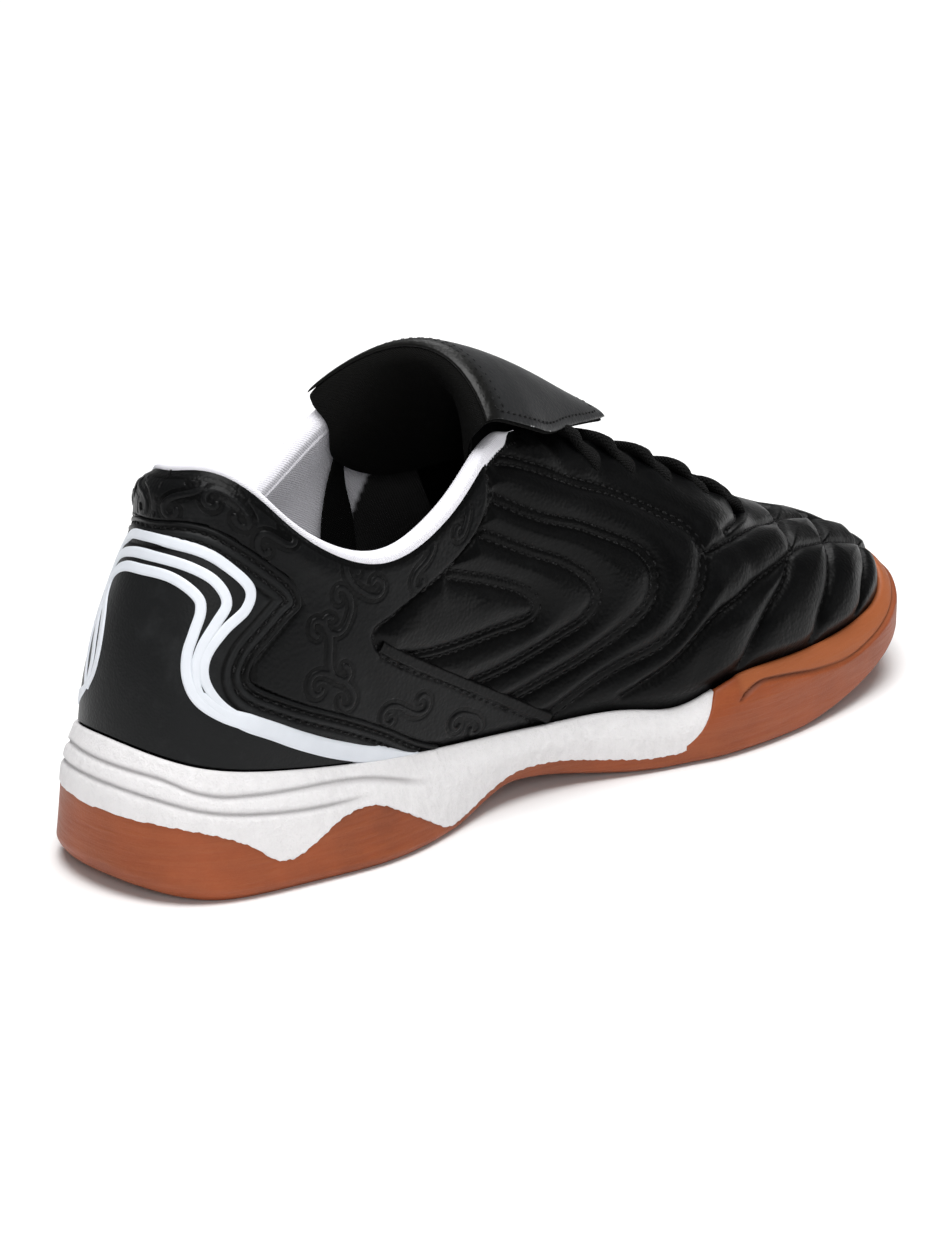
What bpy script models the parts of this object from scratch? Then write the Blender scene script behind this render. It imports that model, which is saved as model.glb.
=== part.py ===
"""Indoor court shoe for the right foot, built in the order a maker would put it together.

A gum-rubber outsole and a white midsole share one sole form, cut apart by a waved line. A hollow
leather upper stands in the rim of that sole, with an insole inside it, a counter round its heel,
a tongue whose top folds forward as a flap, and a flat lace over the tongue.
+X points to the toe, +Y to the inner side of the foot and +Z up. The origin is on the floor,
under the middle of the sole.
"""
import bpy
import numpy as np

for old in list(bpy.data.objects):
    bpy.data.objects.remove(old, do_unlink=True)

MM = 0.001

# Driving sizes, in millimetres. The tables below are drawn for the base size and are graded to these.
LENGTH = 283.5
BALL_WIDTH = 91.0
HEEL_HEIGHT = 110.5
BASE_SIZE = (283.5, 91.0, 110.5)
GRADE = np.array([LENGTH, BALL_WIDTH, HEEL_HEIGHT]) / np.array(BASE_SIZE)

GAP = 0.3              # between pieces that meet
FEATHER_INSET = 4.8    # from the sole's outline in to the foot of the upper
HEM_DEPTH = 6.5        # how far the upper goes down inside the rim, where the footbed leaves room
RIM_DIP = 5.0          # the rim drops where the white foam ends, in front of the toe guard
RIM_DIP_X = 171.0
RIM_DIP_REACH = 15.0
UPPER_WALL = 2.2       # leather, foam and lining together
COUNTER_WALL = 1.2
COUNTER_GAP = 0.78      # a little more than the gap, for the flat facets on its round back
TONGUE_WALL = 2.6
INSOLE_WALL = 4.0
LACE_WIDTH = 6.0
LACE_WALL = 1.2

ARCH_RISE = 5.8        # the waist of the sole above the floor
TOE_SPRING = 17.5
HEEL_BEVEL = 4.0
ARCH_TUCK = 3.5        # the sole's foot drawn in under the arch
HEEL_FLARE = 2.5       # and spread under the heel,
HEEL_SPREAD = 3.5      # most of all where the heel ends

AROUND = 80            # points round the shoe, even, so that both sides pair up
UPPER_LEVELS = 12

# One row for each section of the last, from the back of the heel to the tip of the toe: the sole's
# outline at the outer and inner side, the height of its rim, the edge of the upper's opening on
# both sides, and the wall's curve between them, which leaves the rim with a rise at an angle of
# lean from the upright, and reaches the edge with a drop at an angle of slope.
SECTION_COLUMNS = ("x", "out_y", "in_y", "rim", "edge_x", "edge_out_y", "edge_in_y",
                   "edge_out_z", "edge_in_z", "rise", "lean", "drop", "slope")
SECTIONS = {
    "heel_back": (0.0, 0.0, 0.0, 39.5, 27.0, 0.0, 0.0, 108.0, 108.0, 28, -2, 26, 24),
    "heel_corner": (9.5, -25.0, 24.5, 36.0, 32.0, -13.5, 13.5, 108.5, 103.5, 27, -3, 24, 18),
    "heel_side": (38.0, -34.5, 33.5, 30.5, 45.0, -26.0, 25.5, 94.0, 91.0, 25, 4, 22, 11),
    "ankle": (76.0, -35.0, 31.5, 24.5, 70.0, -32.0, 30.0, 81.5, 80.0, 24, 8, 20, 6),
    "waist": (114.0, -33.5, 28.5, 20.3, 98.0, -29.0, 27.5, 89.5, 98.0, 25, 12, 25, 10),
    "instep": (150.0, -38.5, 33.5, 19.5, 119.0, -22.5, 22.0, 101.0, 104.0, 30, 12, 30, 28),
    "ball": (186.0, -46.0, 44.0, 22.0, 150.0, -14.0, 15.0, 92.0, 93.0, 22, 12, 30, 50),
    "toes": (223.0, -44.5, 45.0, 21.0, 187.0, -11.0, 12.0, 75.0, 75.0, 19, 8, 24, 60),
    "toe_corner": (257.0, -36.0, 35.5, 22.5, 208.0, -9.0, 11.0, 62.5, 62.0, 16, 0, 23, 62),
    "toe_side": (276.0, -21.0, 20.5, 26.0, 219.0, -6.0, 7.0, 56.5, 56.0, 12, -12, 23, 63),
    "toe_tip": (283.5, -1.0, -1.0, 28.0, 222.5, 0.5, 0.5, 54.5, 54.5, 10, -14, 23, 64),
}

# The sole's wall from the tread up to the rim: how far it is inside the outline, how much of the
# arch's tuck and the heel's flare it takes, and its height as a share of the wall plus a lift.
WALL_COLUMNS = ("inset", "tuck", "share", "lift")
SOLE_WALL = {
    "tread_edge": (3.0, 1.0, 0.00, 0.0),
    "tread_round": (1.0, 1.0, 0.00, 1.6),
    "lower_wall": (0.2, 0.7, 0.30, 1.0),
    "belly": (0.0, 0.3, 0.62, 0.0),
    "upper_wall": (1.4, 0.1, 0.88, 0.0),
    "rim_outside": (3.0, 0.0, 1.00, 0.0),
    "rim_inside": (4.5, 0.0, 1.00, 0.0),
}

# The line that parts gum from white, seen from the side, and the height of the footbed.
PARTING = ((-20, 21.5), (8, 21), (16, 18.5), (24, 14.5), (31, 9.5), (35, 9), (43, 12), (51, 16),
           (58, 17.2), (64, 16.4), (72, 12.5), (80, 8), (89, 3.4), (98, 4.2), (107, 6.8),
           (117, 9.5), (131, 9.4), (148, 6.6), (164, 4.6), (173, 5.6), (177.5, 9.5), (181, 17),
           (183, 24), (184, 60))
FOOTBED = ((0, 25), (38, 21.5), (76, 16.5), (114, 12), (160, 11.5), (205, 11), (245, 12), (284, 18))

# Heel counter: its reach to each side, in sections from the heel's back, at shares of the
# upper's height.
COUNTER = {
    "foot": (0.014, 3.44),
    "skirt": (0.07, 3.16),
    "flank": (0.15, 2.86),
    "brow": (0.225, 2.48),
    "dip": (0.285, 2.00),
    "notch": (0.33, 1.62),
    "waist": (0.40, 1.61),
    "belly": (0.50, 1.76),
    "neck": (0.60, 1.91),
    "ear": (0.70, 2.05),
    "shoulder": (0.785, 1.90),
    "crown": (0.80, 1.15),
    "top": (0.812, 0.40),
}

# Tongue: its middle line from the end of the throat up to the fold and forward along the flap,
# with half its width, the drop of its edges, their sweep back, and how far back and how much higher
# the inner edge is than the middle.
TONGUE_COLUMNS = ("x", "z", "half", "drop", "sweep", "skew", "tilt")
TONGUE = {
    "throat": (219.0, 50.2, 6.5, 1.0, 0.0, 0.0, 0.0),
    "lowest_lace": (205.0, 60.8, 11.5, 3.5, 0.0, 0.0, 0.0),
    "lower_laces": (187.0, 72.5, 14.5, 6.0, 0.0, 0.0, 0.0),
    "middle_laces": (168.0, 82.0, 16.5, 8.0, 1.0, 0.0, 0.0),
    "upper_laces": (150.0, 91.0, 18.5, 12.0, 4.0, 1.0, 0.0),
    "top_lace": (133.0, 99.5, 19.0, 19.0, 12.0, 4.0, 0.0),
    "collar": (121.5, 108.5, 19.5, 20.0, 15.5, 6.5, 0.0),
    "ears": (114.5, 115.7, 20.5, 16.8, 10.0, 6.5, -0.8),
    "fold_back": (111.5, 119.3, 26.0, 14.7, 8.0, 6.0, -1.6),
    "fold_top": (114.5, 121.7, 28.0, 15.2, 7.5, 6.0, -1.5),
    "flap_back": (127.0, 117.8, 26.5, 14.4, 4.0, 3.0, 0.5),
    "flap_middle": (140.0, 112.3, 22.5, 12.2, 3.0, 1.0, 1.7),
    "flap_corner": (151.5, 105.7, 16.0, 8.0, 1.0, 0.0, 1.0),
    "flap_round": (163.5, 98.5, 10.3, 4.4, 0.5, 0.0, 0.6),
    "flap_tip": (174.5, 91.8, 4.6, 1.0, 0.0, 0.0, 0.3),
}

EYELET_FRONT_X = 217.0     # first pair of eyelets
EYELET_PITCH = 15.4
EYELET_PAIRS = 6
EYELET_LEVEL = 0.93        # share of the upper's height, just outside the throat's edge
LACE_BULGE = 3.6           # the lace stands over the edge of the throat,
LACE_BULGE_STEP = 0.45     # and more at each pair, as the throat grows steeper


def smooth_step(x, start, end):
    """0 before start, 1 after end, and a smooth cubic between."""
    f = np.clip((x - start) / (end - start), 0, 1)
    return f * f * (3 - 2 * f)


def closed_spline(rows, at):
    """Smooth closed curve through rows, whose parameter grows by one from row to row."""
    rows = np.asarray(rows, float)
    n = len(rows)
    one_on = np.roll(np.eye(n), 1, 1)
    system = 4 * np.eye(n) + one_on + one_on.T
    slope = np.linalg.solve(system, 3 * (np.roll(rows, -1, 0) - np.roll(rows, 1, 0)))
    i = np.floor(at).astype(int) % n
    j = (i + 1) % n
    f = (at - np.floor(at))[:, None]
    rise = rows[j] - rows[i]
    return (rows[i] + slope[i] * f + (3 * rise - 2 * slope[i] - slope[j]) * f ** 2
            + (slope[i] + slope[j] - 2 * rise) * f ** 3)


def open_spline(rows, at):
    """Smooth open curve through rows, with slopes from the rows on both sides."""
    rows = np.asarray(rows, float)
    slope = np.gradient(rows, axis=0)
    i = np.clip(np.floor(at).astype(int), 0, len(rows) - 2)
    f = (at - i)[:, None]
    rise = rows[i + 1] - rows[i]
    return (rows[i] + slope[i] * f + (3 * rise - 2 * slope[i] - slope[i + 1]) * f ** 2
            + (slope[i] + slope[i + 1] - 2 * rise) * f ** 3)


def section_loop():
    """The sections as one loop: along the outer side to the toe and back along the inner side."""
    outer, inner = [], []
    for row in SECTIONS.values():
        s = dict(zip(SECTION_COLUMNS, row))
        curve = (s["rise"], s["lean"], s["drop"], s["slope"])
        outer.append((s["x"], s["out_y"], s["rim"], s["edge_x"], s["edge_out_y"], s["edge_out_z"]) + curve)
        inner.append((s["x"], s["in_y"], s["rim"], s["edge_x"], s["edge_in_y"], s["edge_in_z"]) + curve)
    return outer + inner[-2:0:-1]


LOOP = section_loop()


def plan_normal(t, columns):
    """Outward direction, in plan, of the closed curve that two columns of the loop draw."""
    step = 0.01
    along = closed_spline(LOOP, t + step)[:, columns] - closed_spline(LOOP, t - step)[:, columns]
    across = np.stack([along[:, 1], -along[:, 0], np.zeros(len(t))], 1)
    return across / np.linalg.norm(across, axis=1, keepdims=True)


def outline(t):
    """The sole's outline on the floor, its outward direction and the height of the rim."""
    row = closed_spline(LOOP, t)
    plan = np.stack([row[:, 0], row[:, 1], np.zeros(len(t))], 1)
    dip = RIM_DIP * np.exp(-((row[:, 0] - RIM_DIP_X) / RIM_DIP_REACH) ** 2)
    return plan, plan_normal(t, [0, 1]), row[:, 2] - dip


def tread_height(x):
    """Underside of the sole: flat under heel and ball, raised at arch, toe and the heel's back."""
    arch = ARCH_RISE * smooth_step(x, 92, 120) * (1 - smooth_step(x, 112, 166))
    toe = TOE_SPRING * np.clip((x - 214) / (LENGTH - 214), 0, 1) ** 1.5
    heel = HEEL_BEVEL * np.clip(1 - x / 22, 0, 1.2) ** 2
    return arch + toe + heel


def tuck(x):
    """How far the sole's foot is drawn in under the arch, or spread under the heel."""
    spread = HEEL_FLARE * (1 - smooth_step(x, 80, 112)) + HEEL_SPREAD * np.exp(-((x - 68) / 22) ** 2)
    return ARCH_TUCK * np.exp(-((x - 132) / 22) ** 2) - spread


def footbed_height(x):
    """Height of the bed that carries the insole."""
    places, heights = np.array(FOOTBED, float).T
    return np.interp(x, places, heights)


def ring(t, inset, height):
    """Closed ring inside the outline, at heights given for its points."""
    plan, out, _ = outline(t)
    points = plan - out * np.reshape(inset, (-1, 1))
    points[:, 2] = height(points[:, 0]) if callable(height) else height
    return points


def upper_wall(t, v):
    """Outside of the upper, for sections t and shares v of its height: one cubic curve from the rim to
    the edge of the opening for each section. Below the rim, where v is negative, it is upright."""
    plan, out, rim = outline(t)
    row = closed_spline(LOOP, t)
    foot = plan - out * FEATHER_INSET
    foot[:, 2] = rim
    edge = row[:, 3:6]
    out_at_edge = plan_normal(t, [3, 4])
    rise, lean, drop, slope = row[:, 6:7], np.radians(row[:, 7:8]), row[:, 8:9], np.radians(row[:, 9:10])
    up = np.array([0.0, 0.0, 1.0])
    lower = foot + rise * (out * np.sin(lean) + up * np.cos(lean))
    higher = edge + drop * (out_at_edge * np.sin(slope) - up * np.cos(slope))
    v = v[:, None]
    f = np.clip(v, 0, 1)
    curve = ((1 - f) ** 3 * foot + 3 * f * (1 - f) ** 2 * lower + 3 * f * f * (1 - f) * higher + f ** 3 * edge)
    room = rim - footbed_height(foot[:, 0]) - 1.0
    return curve + up * np.minimum(v, 0) * np.minimum(HEM_DEPTH, room)[:, None]


def upper_normal(t, v):
    """Outward direction of the upper, from two short steps on its surface."""
    step = 0.004
    v = np.clip(v, 0, 1)
    ahead = upper_wall(t + step, v) - upper_wall(t - step, v)
    upward = upper_wall(t, np.minimum(v + step, 1)) - upper_wall(t, np.maximum(v - step, 0))
    normal = np.cross(ahead, upward)
    return normal / np.linalg.norm(normal, axis=1, keepdims=True)


def upper_offset(t, v, offset):
    """Surface at a distance outside the upper, or inside it where the distance is negative."""
    return upper_wall(t, v) + upper_normal(t, v) * offset


def skin(rings, closed=False):
    """Faces between rings of equal count, stacked upwards on the outside; closed joins last to first."""
    count = len(rings[0])
    faces = []
    for r in range(len(rings) if closed else len(rings) - 1):
        low, high = r * count, (r + 1) % len(rings) * count
        for j in range(count):
            k = (j + 1) % count
            faces.append((low + j, low + k, high + k, high + j))
    return faces


def ladder(first, count, upward):
    """Faces that close a ring with rungs from side to side, between heel and toe."""
    half = count // 2
    rungs = [(first, first + 1, first + count - 1)]
    for j in range(1, half - 1):
        rungs.append((first + j, first + j + 1, first + count - j - 1, first + count - j))
    rungs.append((first + half - 1, first + half, first + half + 1))
    return rungs if upward else [rung[::-1] for rung in rungs]


def stack(rings):
    """Closed solid from a stack of rings, with a ladder at its underside and at its top."""
    count = len(rings[0])
    faces = ladder(0, count, upward=False) + skin(rings)
    faces += ladder((len(rings) - 1) * count, count, upward=True)
    return np.concatenate(rings), faces


def slab(top, bottom):
    """Closed solid between two grids of equal size, whose rows run so that top faces outwards."""
    rows, columns = top.shape[:2]
    size = rows * columns
    faces = []
    for i in range(rows - 1):
        for j in range(columns - 1):
            face = (i * columns + j, i * columns + j + 1, (i + 1) * columns + j + 1, (i + 1) * columns + j)
            faces.append(face)
            faces.append(tuple(size + corner for corner in reversed(face)))
    border = [(0, j) for j in range(columns - 1)] + [(i, columns - 1) for i in range(rows - 1)]
    border += [(rows - 1, j) for j in range(columns - 1, 0, -1)] + [(i, 0) for i in range(rows - 1, 0, -1)]
    border = [i * columns + j for i, j in border]
    for a, b in zip(border, border[1:] + border[:1]):
        faces.append((b, a, size + a, size + b))
    return np.concatenate([top.reshape(-1, 3), bottom.reshape(-1, 3)]), faces


def grid_normal(grid):
    """Unit normals of a grid of points, from its two directions."""
    normal = np.cross(np.gradient(grid, axis=1), np.gradient(grid, axis=0))
    return normal / np.linalg.norm(normal, axis=2, keepdims=True)


def material(name, colour, roughness):
    """Plain Principled material."""
    made = bpy.data.materials.new(name)
    made.use_nodes = True
    shader = made.node_tree.nodes["Principled BSDF"]
    shader.inputs["Base Color"].default_value = (*colour, 1.0)
    shader.inputs["Roughness"].default_value = roughness
    shader.inputs["Metallic"].default_value = 0.0
    return made


def add_object(name, points, faces, surface=None):
    """Object from points in millimetres of the base size, graded and moved to the part's frame."""
    mesh = bpy.data.meshes.new(name)
    place = (np.asarray(points) - CENTRE) * GRADE * MM
    mesh.from_pydata(place.tolist(), [], faces)
    mesh.validate()
    made = bpy.data.objects.new(name, mesh)
    bpy.context.scene.collection.objects.link(made)
    if surface:
        mesh.materials.append(surface)
        mesh.shade_smooth()
        mesh.set_sharp_from_angle(angle=np.radians(40))
    else:
        made.hide_render = True
        made.display_type = "WIRE"
    return made


def cut(target, cutter, operation):
    """Boolean on target by cutter."""
    step = target.modifiers.new(cutter.name, "BOOLEAN")
    step.operation = operation
    step.object = cutter
    step.solver = "EXACT"


ROUND = np.arange(AROUND) * len(LOOP) / AROUND


def sole_form():
    """The whole sole: tread, wall, rim and footbed, as one stack of rings."""
    plan, _, rim = outline(ROUND)
    rings = []
    for row in SOLE_WALL.values():
        wall = dict(zip(WALL_COLUMNS, row))
        points = ring(ROUND, wall["inset"] + wall["tuck"] * tuck(plan[:, 0]), 0.0)
        tread = tread_height(points[:, 0])
        points[:, 2] = tread + wall["lift"] + wall["share"] * (rim - tread)
        rings.append(points)
    rings.append(ring(ROUND, FEATHER_INSET - GAP, footbed_height))
    return rings


def parting_block(lift):
    """Block under the parting line, right across the shoe, grown by a small lift."""
    line = np.array(PARTING, float)
    along = np.gradient(line, axis=0)
    along /= np.linalg.norm(along, axis=1, keepdims=True)
    line = line + np.stack([-along[:, 1], along[:, 0]], 1) * lift
    profile = [(-20, -20), *line.tolist(), (320, 60), (320, -20)]
    count = len(profile)
    points = [(x, -80, z) for x, z in profile] + [(x, 80, z) for x, z in profile]
    faces = [tuple(reversed(range(count))), tuple(range(count, 2 * count))]
    faces += [(j, (j + 1) % count, count + (j + 1) % count, count + j) for j in range(count)]
    return points, faces


def counter_grid(offset):
    """Grid on the heel counter: rows up the heel, columns from the inner side round to the outer side."""
    shares, reaches = np.array(list(COUNTER.values())).T
    rows = np.linspace(0, len(shares) - 1, 19)
    v, reach = open_spline(np.stack([shares, reaches], 1), rows).T
    across = np.linspace(-1, 1, 31)
    across = np.sign(across) * np.abs(across) ** 1.2
    t = (reach[:, None] * across).ravel() + len(LOOP)
    return upper_offset(t, np.repeat(v, len(across)), offset).reshape(len(v), len(across), 3)


def tongue_grid():
    """Middle surface of the tongue: rows along it, columns from the outer side to the inner side."""
    rows = open_spline(list(TONGUE.values()), np.linspace(0, len(TONGUE) - 1, 2 * len(TONGUE) + 1))
    x, z, half, drop, sweep, skew, tilt = (column[:, None] for column in rows.T)
    w = np.linspace(-1, 1, 13)
    return np.stack([x - sweep * w ** 2 - skew * w, half * w + 0 * x, z - drop * w ** 2 + tilt * w], 2)


def eyelet(pair, side):
    """Place on the outside of the upper where a lace goes in; side is -1 outside, 1 inside."""
    throat = np.linspace(5, 9.5, 200)
    edge_x = closed_spline(LOOP, throat)[:, 3]
    t = np.interp(EYELET_FRONT_X - EYELET_PITCH * pair, edge_x, throat)
    t = np.array([t if side < 0 else len(LOOP) - t])
    level = np.array([EYELET_LEVEL])
    return upper_wall(t, level)[0], upper_normal(t, level)[0]


def lace_strand(start, end, lift):
    """Flat strip that leaves one eyelet, arches over the tongue and ends at another."""
    (first, first_up), (last, last_up) = eyelet(*start), eyelet(*end)
    f = np.linspace(0, 1, 9)[:, None]
    clear = LACE_WALL / 2 + 0.9
    path = first + first_up * clear + (last + last_up * clear - first - first_up * clear) * f
    bulge = LACE_BULGE + LACE_BULGE_STEP * start[0] + lift
    path[:, 2] += (bulge * (1 - (2 * f - 1) ** 6) + lift)[:, 0]
    along = np.gradient(path, axis=0)
    up = first_up + (last_up - first_up) * f
    across = np.cross(up, along)
    across /= np.linalg.norm(across, axis=1, keepdims=True)
    normal = np.cross(along, across)
    normal /= np.linalg.norm(normal, axis=1, keepdims=True)
    edges = np.stack([path + across * LACE_WIDTH / 2, path - across * LACE_WIDTH / 2], 1)
    thick = (normal * LACE_WALL / 2)[:, None]
    return slab(edges + thick, edges - thick)


FORM = sole_form()
EXTENT = np.concatenate(FORM)
CENTRE = (EXTENT.min(0) + EXTENT.max(0)) / 2
CENTRE[2] = 0.0

# Outsole and midsole: the sole form below and above the parting line
sole_points, sole_faces = stack(FORM)
gum_block = add_object("gum_block", *parting_block(0.0))
white_block = add_object("white_block", *parting_block(GAP))
outsole = add_object("outsole", sole_points, sole_faces, material("gum_rubber", (0.29, 0.085, 0.033), 0.55))
cut(outsole, gum_block, "INTERSECT")
midsole = add_object("midsole", sole_points, sole_faces, material("white_foam", (0.78, 0.76, 0.76), 0.6))
cut(midsole, white_block, "DIFFERENCE")

# Insole: a sheet of foam on the footbed, inside the upper
insole_inset = FEATHER_INSET + UPPER_WALL + 0.6
bed_gap = 0.5
insole_rings = [ring(ROUND, insole_inset, lambda x: footbed_height(x) + bed_gap),
                ring(ROUND, insole_inset, lambda x: footbed_height(x) + bed_gap + INSOLE_WALL)]
add_object("insole", *stack(insole_rings), material("insole_foam", (0.05, 0.05, 0.055), 0.9))

# Upper: its outside from the hem to the opening's edge, then its inside back down
levels = np.concatenate([[-1.0, 0.0], np.linspace(0.04, 1, UPPER_LEVELS)])
outside = [upper_offset(ROUND, np.full(AROUND, v), 0.0) for v in levels]
inside = [upper_offset(ROUND, np.full(AROUND, v), -UPPER_WALL) for v in levels[::-1]]
add_object("upper", np.concatenate(outside + inside), skin(outside + inside, closed=True),
           material("black_leather", (0.018, 0.019, 0.021), 0.5))

# Heel counter: a skin between two larger forms of the upper
add_object("heel_counter", *slab(counter_grid(COUNTER_GAP + COUNTER_WALL), counter_grid(COUNTER_GAP)),
           material("counter_leather", (0.013, 0.014, 0.015), 0.4))

# Tongue with its fold-over flap
tongue_middle = tongue_grid()
tongue_half = grid_normal(tongue_middle) * TONGUE_WALL / 2
add_object("tongue", *slab(tongue_middle + tongue_half, tongue_middle - tongue_half),
           material("tongue_leather", (0.016, 0.016, 0.018), 0.55))

# Lace: a bar across the first pair of eyelets, then a crossing for each further pair, all joined
black_lace = material("lace_cotton", (0.012, 0.012, 0.013), 0.85)
laces = add_object("laces", *lace_strand((0, -1), (0, 1), 0.4), black_lace)
for pair in range(EYELET_PAIRS - 1):
    for side, lift in ((-1, 0.0), (1, 0.5)):
        strand = add_object(f"strand_{pair}_{side}", *lace_strand((pair, side), (pair + 1, -side), lift))
        cut(laces, strand, "UNION")
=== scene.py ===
"""Indoor court shoe for the right foot, dressed for the picture.

The pieces follow the order in which the shoe is put together: outsole, midsole, insole, upper, collar
lining, heel counter with its white trim, embossed panel, seams, tongue and lace. Every shape is worked
out in millimetres from the back of the heel, with x to the toe, -y to the outer side and z up, and is
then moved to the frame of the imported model.
"""

import bmesh
import bpy
import numpy as np
from mathutils import Matrix


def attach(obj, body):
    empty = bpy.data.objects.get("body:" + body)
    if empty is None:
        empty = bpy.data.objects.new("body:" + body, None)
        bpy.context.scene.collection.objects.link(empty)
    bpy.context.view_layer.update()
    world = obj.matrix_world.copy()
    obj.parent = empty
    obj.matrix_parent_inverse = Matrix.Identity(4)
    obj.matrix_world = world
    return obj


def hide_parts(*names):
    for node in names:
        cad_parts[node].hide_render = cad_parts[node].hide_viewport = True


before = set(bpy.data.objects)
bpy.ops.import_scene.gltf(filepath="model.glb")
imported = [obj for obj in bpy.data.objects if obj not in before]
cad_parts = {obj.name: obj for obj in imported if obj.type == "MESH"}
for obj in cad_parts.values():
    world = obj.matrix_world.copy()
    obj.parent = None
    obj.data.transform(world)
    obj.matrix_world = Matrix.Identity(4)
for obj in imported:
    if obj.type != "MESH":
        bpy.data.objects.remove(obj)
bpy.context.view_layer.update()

# Studio: a plain pale floor, a large soft light overhead, two weaker ones on the outer side, and one for
# the floor behind. The camera looks at the outer side of the shoe from behind, through a long lens.
SHOE_MIDDLE = np.array([140.97, -0.24, 0.0])    # the frame's origin, in the shoe's millimetres
MM = 0.001
CAMERA_TARGET = np.array([140.0, 0.0, 38.6])
CAMERA_TURN = np.radians(46.2)
CAMERA_RISE = np.radians(20.4)
CAMERA_ROLL = np.radians(0.73)
CAMERA_AWAY = 1702.0
CAMERA_LENS = 183.4
CAMERA_SHIFT = (-18.6 / 1234, 2.4 / 1234)
FLOOR_HALF = 3.0
FLOOR_COLOUR = (0.93, 0.93, 0.93, 1.0)
SKY_WHITE = (1.0, 1.0, 1.0, 1.0)
SKY_STRENGTH = 0.12


def unit(vectors):
    """Vectors of length one."""
    return vectors / np.linalg.norm(vectors, axis=-1, keepdims=True)


def fill_socket(tree, socket, value):
    """Sets a socket to a value, or links another socket to it."""
    if isinstance(value, bpy.types.NodeSocket):
        tree.links.new(value, socket)
    else:
        socket.default_value = value


def add_node(tree, kind, settings=None, **sockets):
    """Adds a shader node, sets its properties, and fills its sockets with values or links."""
    made = tree.nodes.new("ShaderNode" + kind)
    for name, value in (settings or {}).items():
        setattr(made, name, value)
    for name, value in sockets.items():
        socket = made.inputs[int(name[1:])] if name[0] == "_" else made.inputs[name.replace("_", " ")]
        fill_socket(tree, socket, value)
    return made


def new_material(name):
    """Empty node material: its tree and its Principled shader."""
    made = bpy.data.materials.new(name)
    made.use_nodes = True
    return made, made.node_tree, made.node_tree.nodes["Principled BSDF"]


def place_camera():
    """Camera on the line from its target, with the picture's roll, lens and shift."""
    away = np.array([-np.cos(CAMERA_TURN) * np.cos(CAMERA_RISE), -np.sin(CAMERA_TURN) * np.cos(CAMERA_RISE),
                     np.sin(CAMERA_RISE)])
    level = np.array([np.sin(CAMERA_TURN), -np.cos(CAMERA_TURN), 0.0])
    upward = np.cross(away, level)
    right = np.cos(CAMERA_ROLL) * level + np.sin(CAMERA_ROLL) * upward
    upward = np.cross(away, right)
    eye = (CAMERA_TARGET + away * CAMERA_AWAY - SHOE_MIDDLE) * MM
    lens = bpy.data.cameras.new("camera")
    lens.lens = CAMERA_LENS
    lens.shift_x, lens.shift_y = CAMERA_SHIFT
    lens.clip_end = 50.0
    made = bpy.data.objects.new("camera", lens)
    rows = [(*axes, place) for *axes, place in zip(right, upward, away, eye)]
    made.matrix_world = Matrix(rows + [(0, 0, 0, 1)])
    bpy.context.scene.collection.objects.link(made)
    bpy.context.scene.camera = made


def soft_light(name, place, aim, width, power):
    """Round area light at a place in metres, turned to its aim."""
    lamp = bpy.data.lights.new(name, "AREA")
    lamp.shape = "DISK"
    lamp.size = width
    lamp.energy = power
    made = bpy.data.objects.new(name, lamp)
    back = unit(np.array(place) - np.array(aim))
    side = unit(np.cross((0.0, 1.0, 0.1), back))
    axes = zip(side, np.cross(back, side), back, place)
    made.matrix_world = Matrix([(*turn, where) for *turn, where in axes] + [(0, 0, 0, 1)])
    made.visible_camera = False
    bpy.context.scene.collection.objects.link(made)


place_camera()
soft_light("overhead_light", (-0.15, -0.15, 1.7), (0.0, 0.0, 0.0), 1.5, 40.0)
soft_light("near_light", (-1.3, -1.5, 0.95), (0.0, 0.0, 0.05), 0.9, 11.0)
soft_light("toe_light", (1.5, -1.2, 0.8), (0.1, 0.0, 0.05), 0.8, 1.0)
soft_light("back_light", (1.3, 1.4, 1.6), (1.0, 1.0, 0.0), 1.2, 14.0)
world = bpy.data.worlds.new("studio")
world.use_nodes = True
sky = world.node_tree.nodes["Background"].inputs
sky["Color"].default_value = SKY_WHITE
sky["Strength"].default_value = SKY_STRENGTH
bpy.context.scene.world = world
bpy.context.scene.view_settings.view_transform = "Standard"

floor_paint, floor_tree, floor_shader = new_material("pale_floor")
floor_grey = add_node(floor_tree, "TexNoise", Scale=6.0, Detail=3.0)
floor_tone = add_node(floor_tree, "ValToRGB", Fac=floor_grey.outputs["Fac"])
floor_tone.color_ramp.elements[0].color = tuple(0.99 * c for c in FLOOR_COLOUR[:3]) + (1.0,)
floor_tone.color_ramp.elements[1].color = FLOOR_COLOUR
floor_tree.links.new(floor_tone.outputs["Color"], floor_shader.inputs["Base Color"])
floor_shader.inputs["Roughness"].default_value = 0.9
floor_mesh = bpy.data.meshes.new("floor")
floor_corners = [(x * FLOOR_HALF, y * FLOOR_HALF, 0.0) for x, y in ((-1, -1), (1, -1), (1, 1), (-1, 1))]
floor_mesh.from_pydata(floor_corners, [], [(0, 1, 2, 3)])
floor_mesh.materials.append(floor_paint)
floor = bpy.data.objects.new("floor", floor_mesh)
bpy.context.scene.collection.objects.link(floor)

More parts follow.
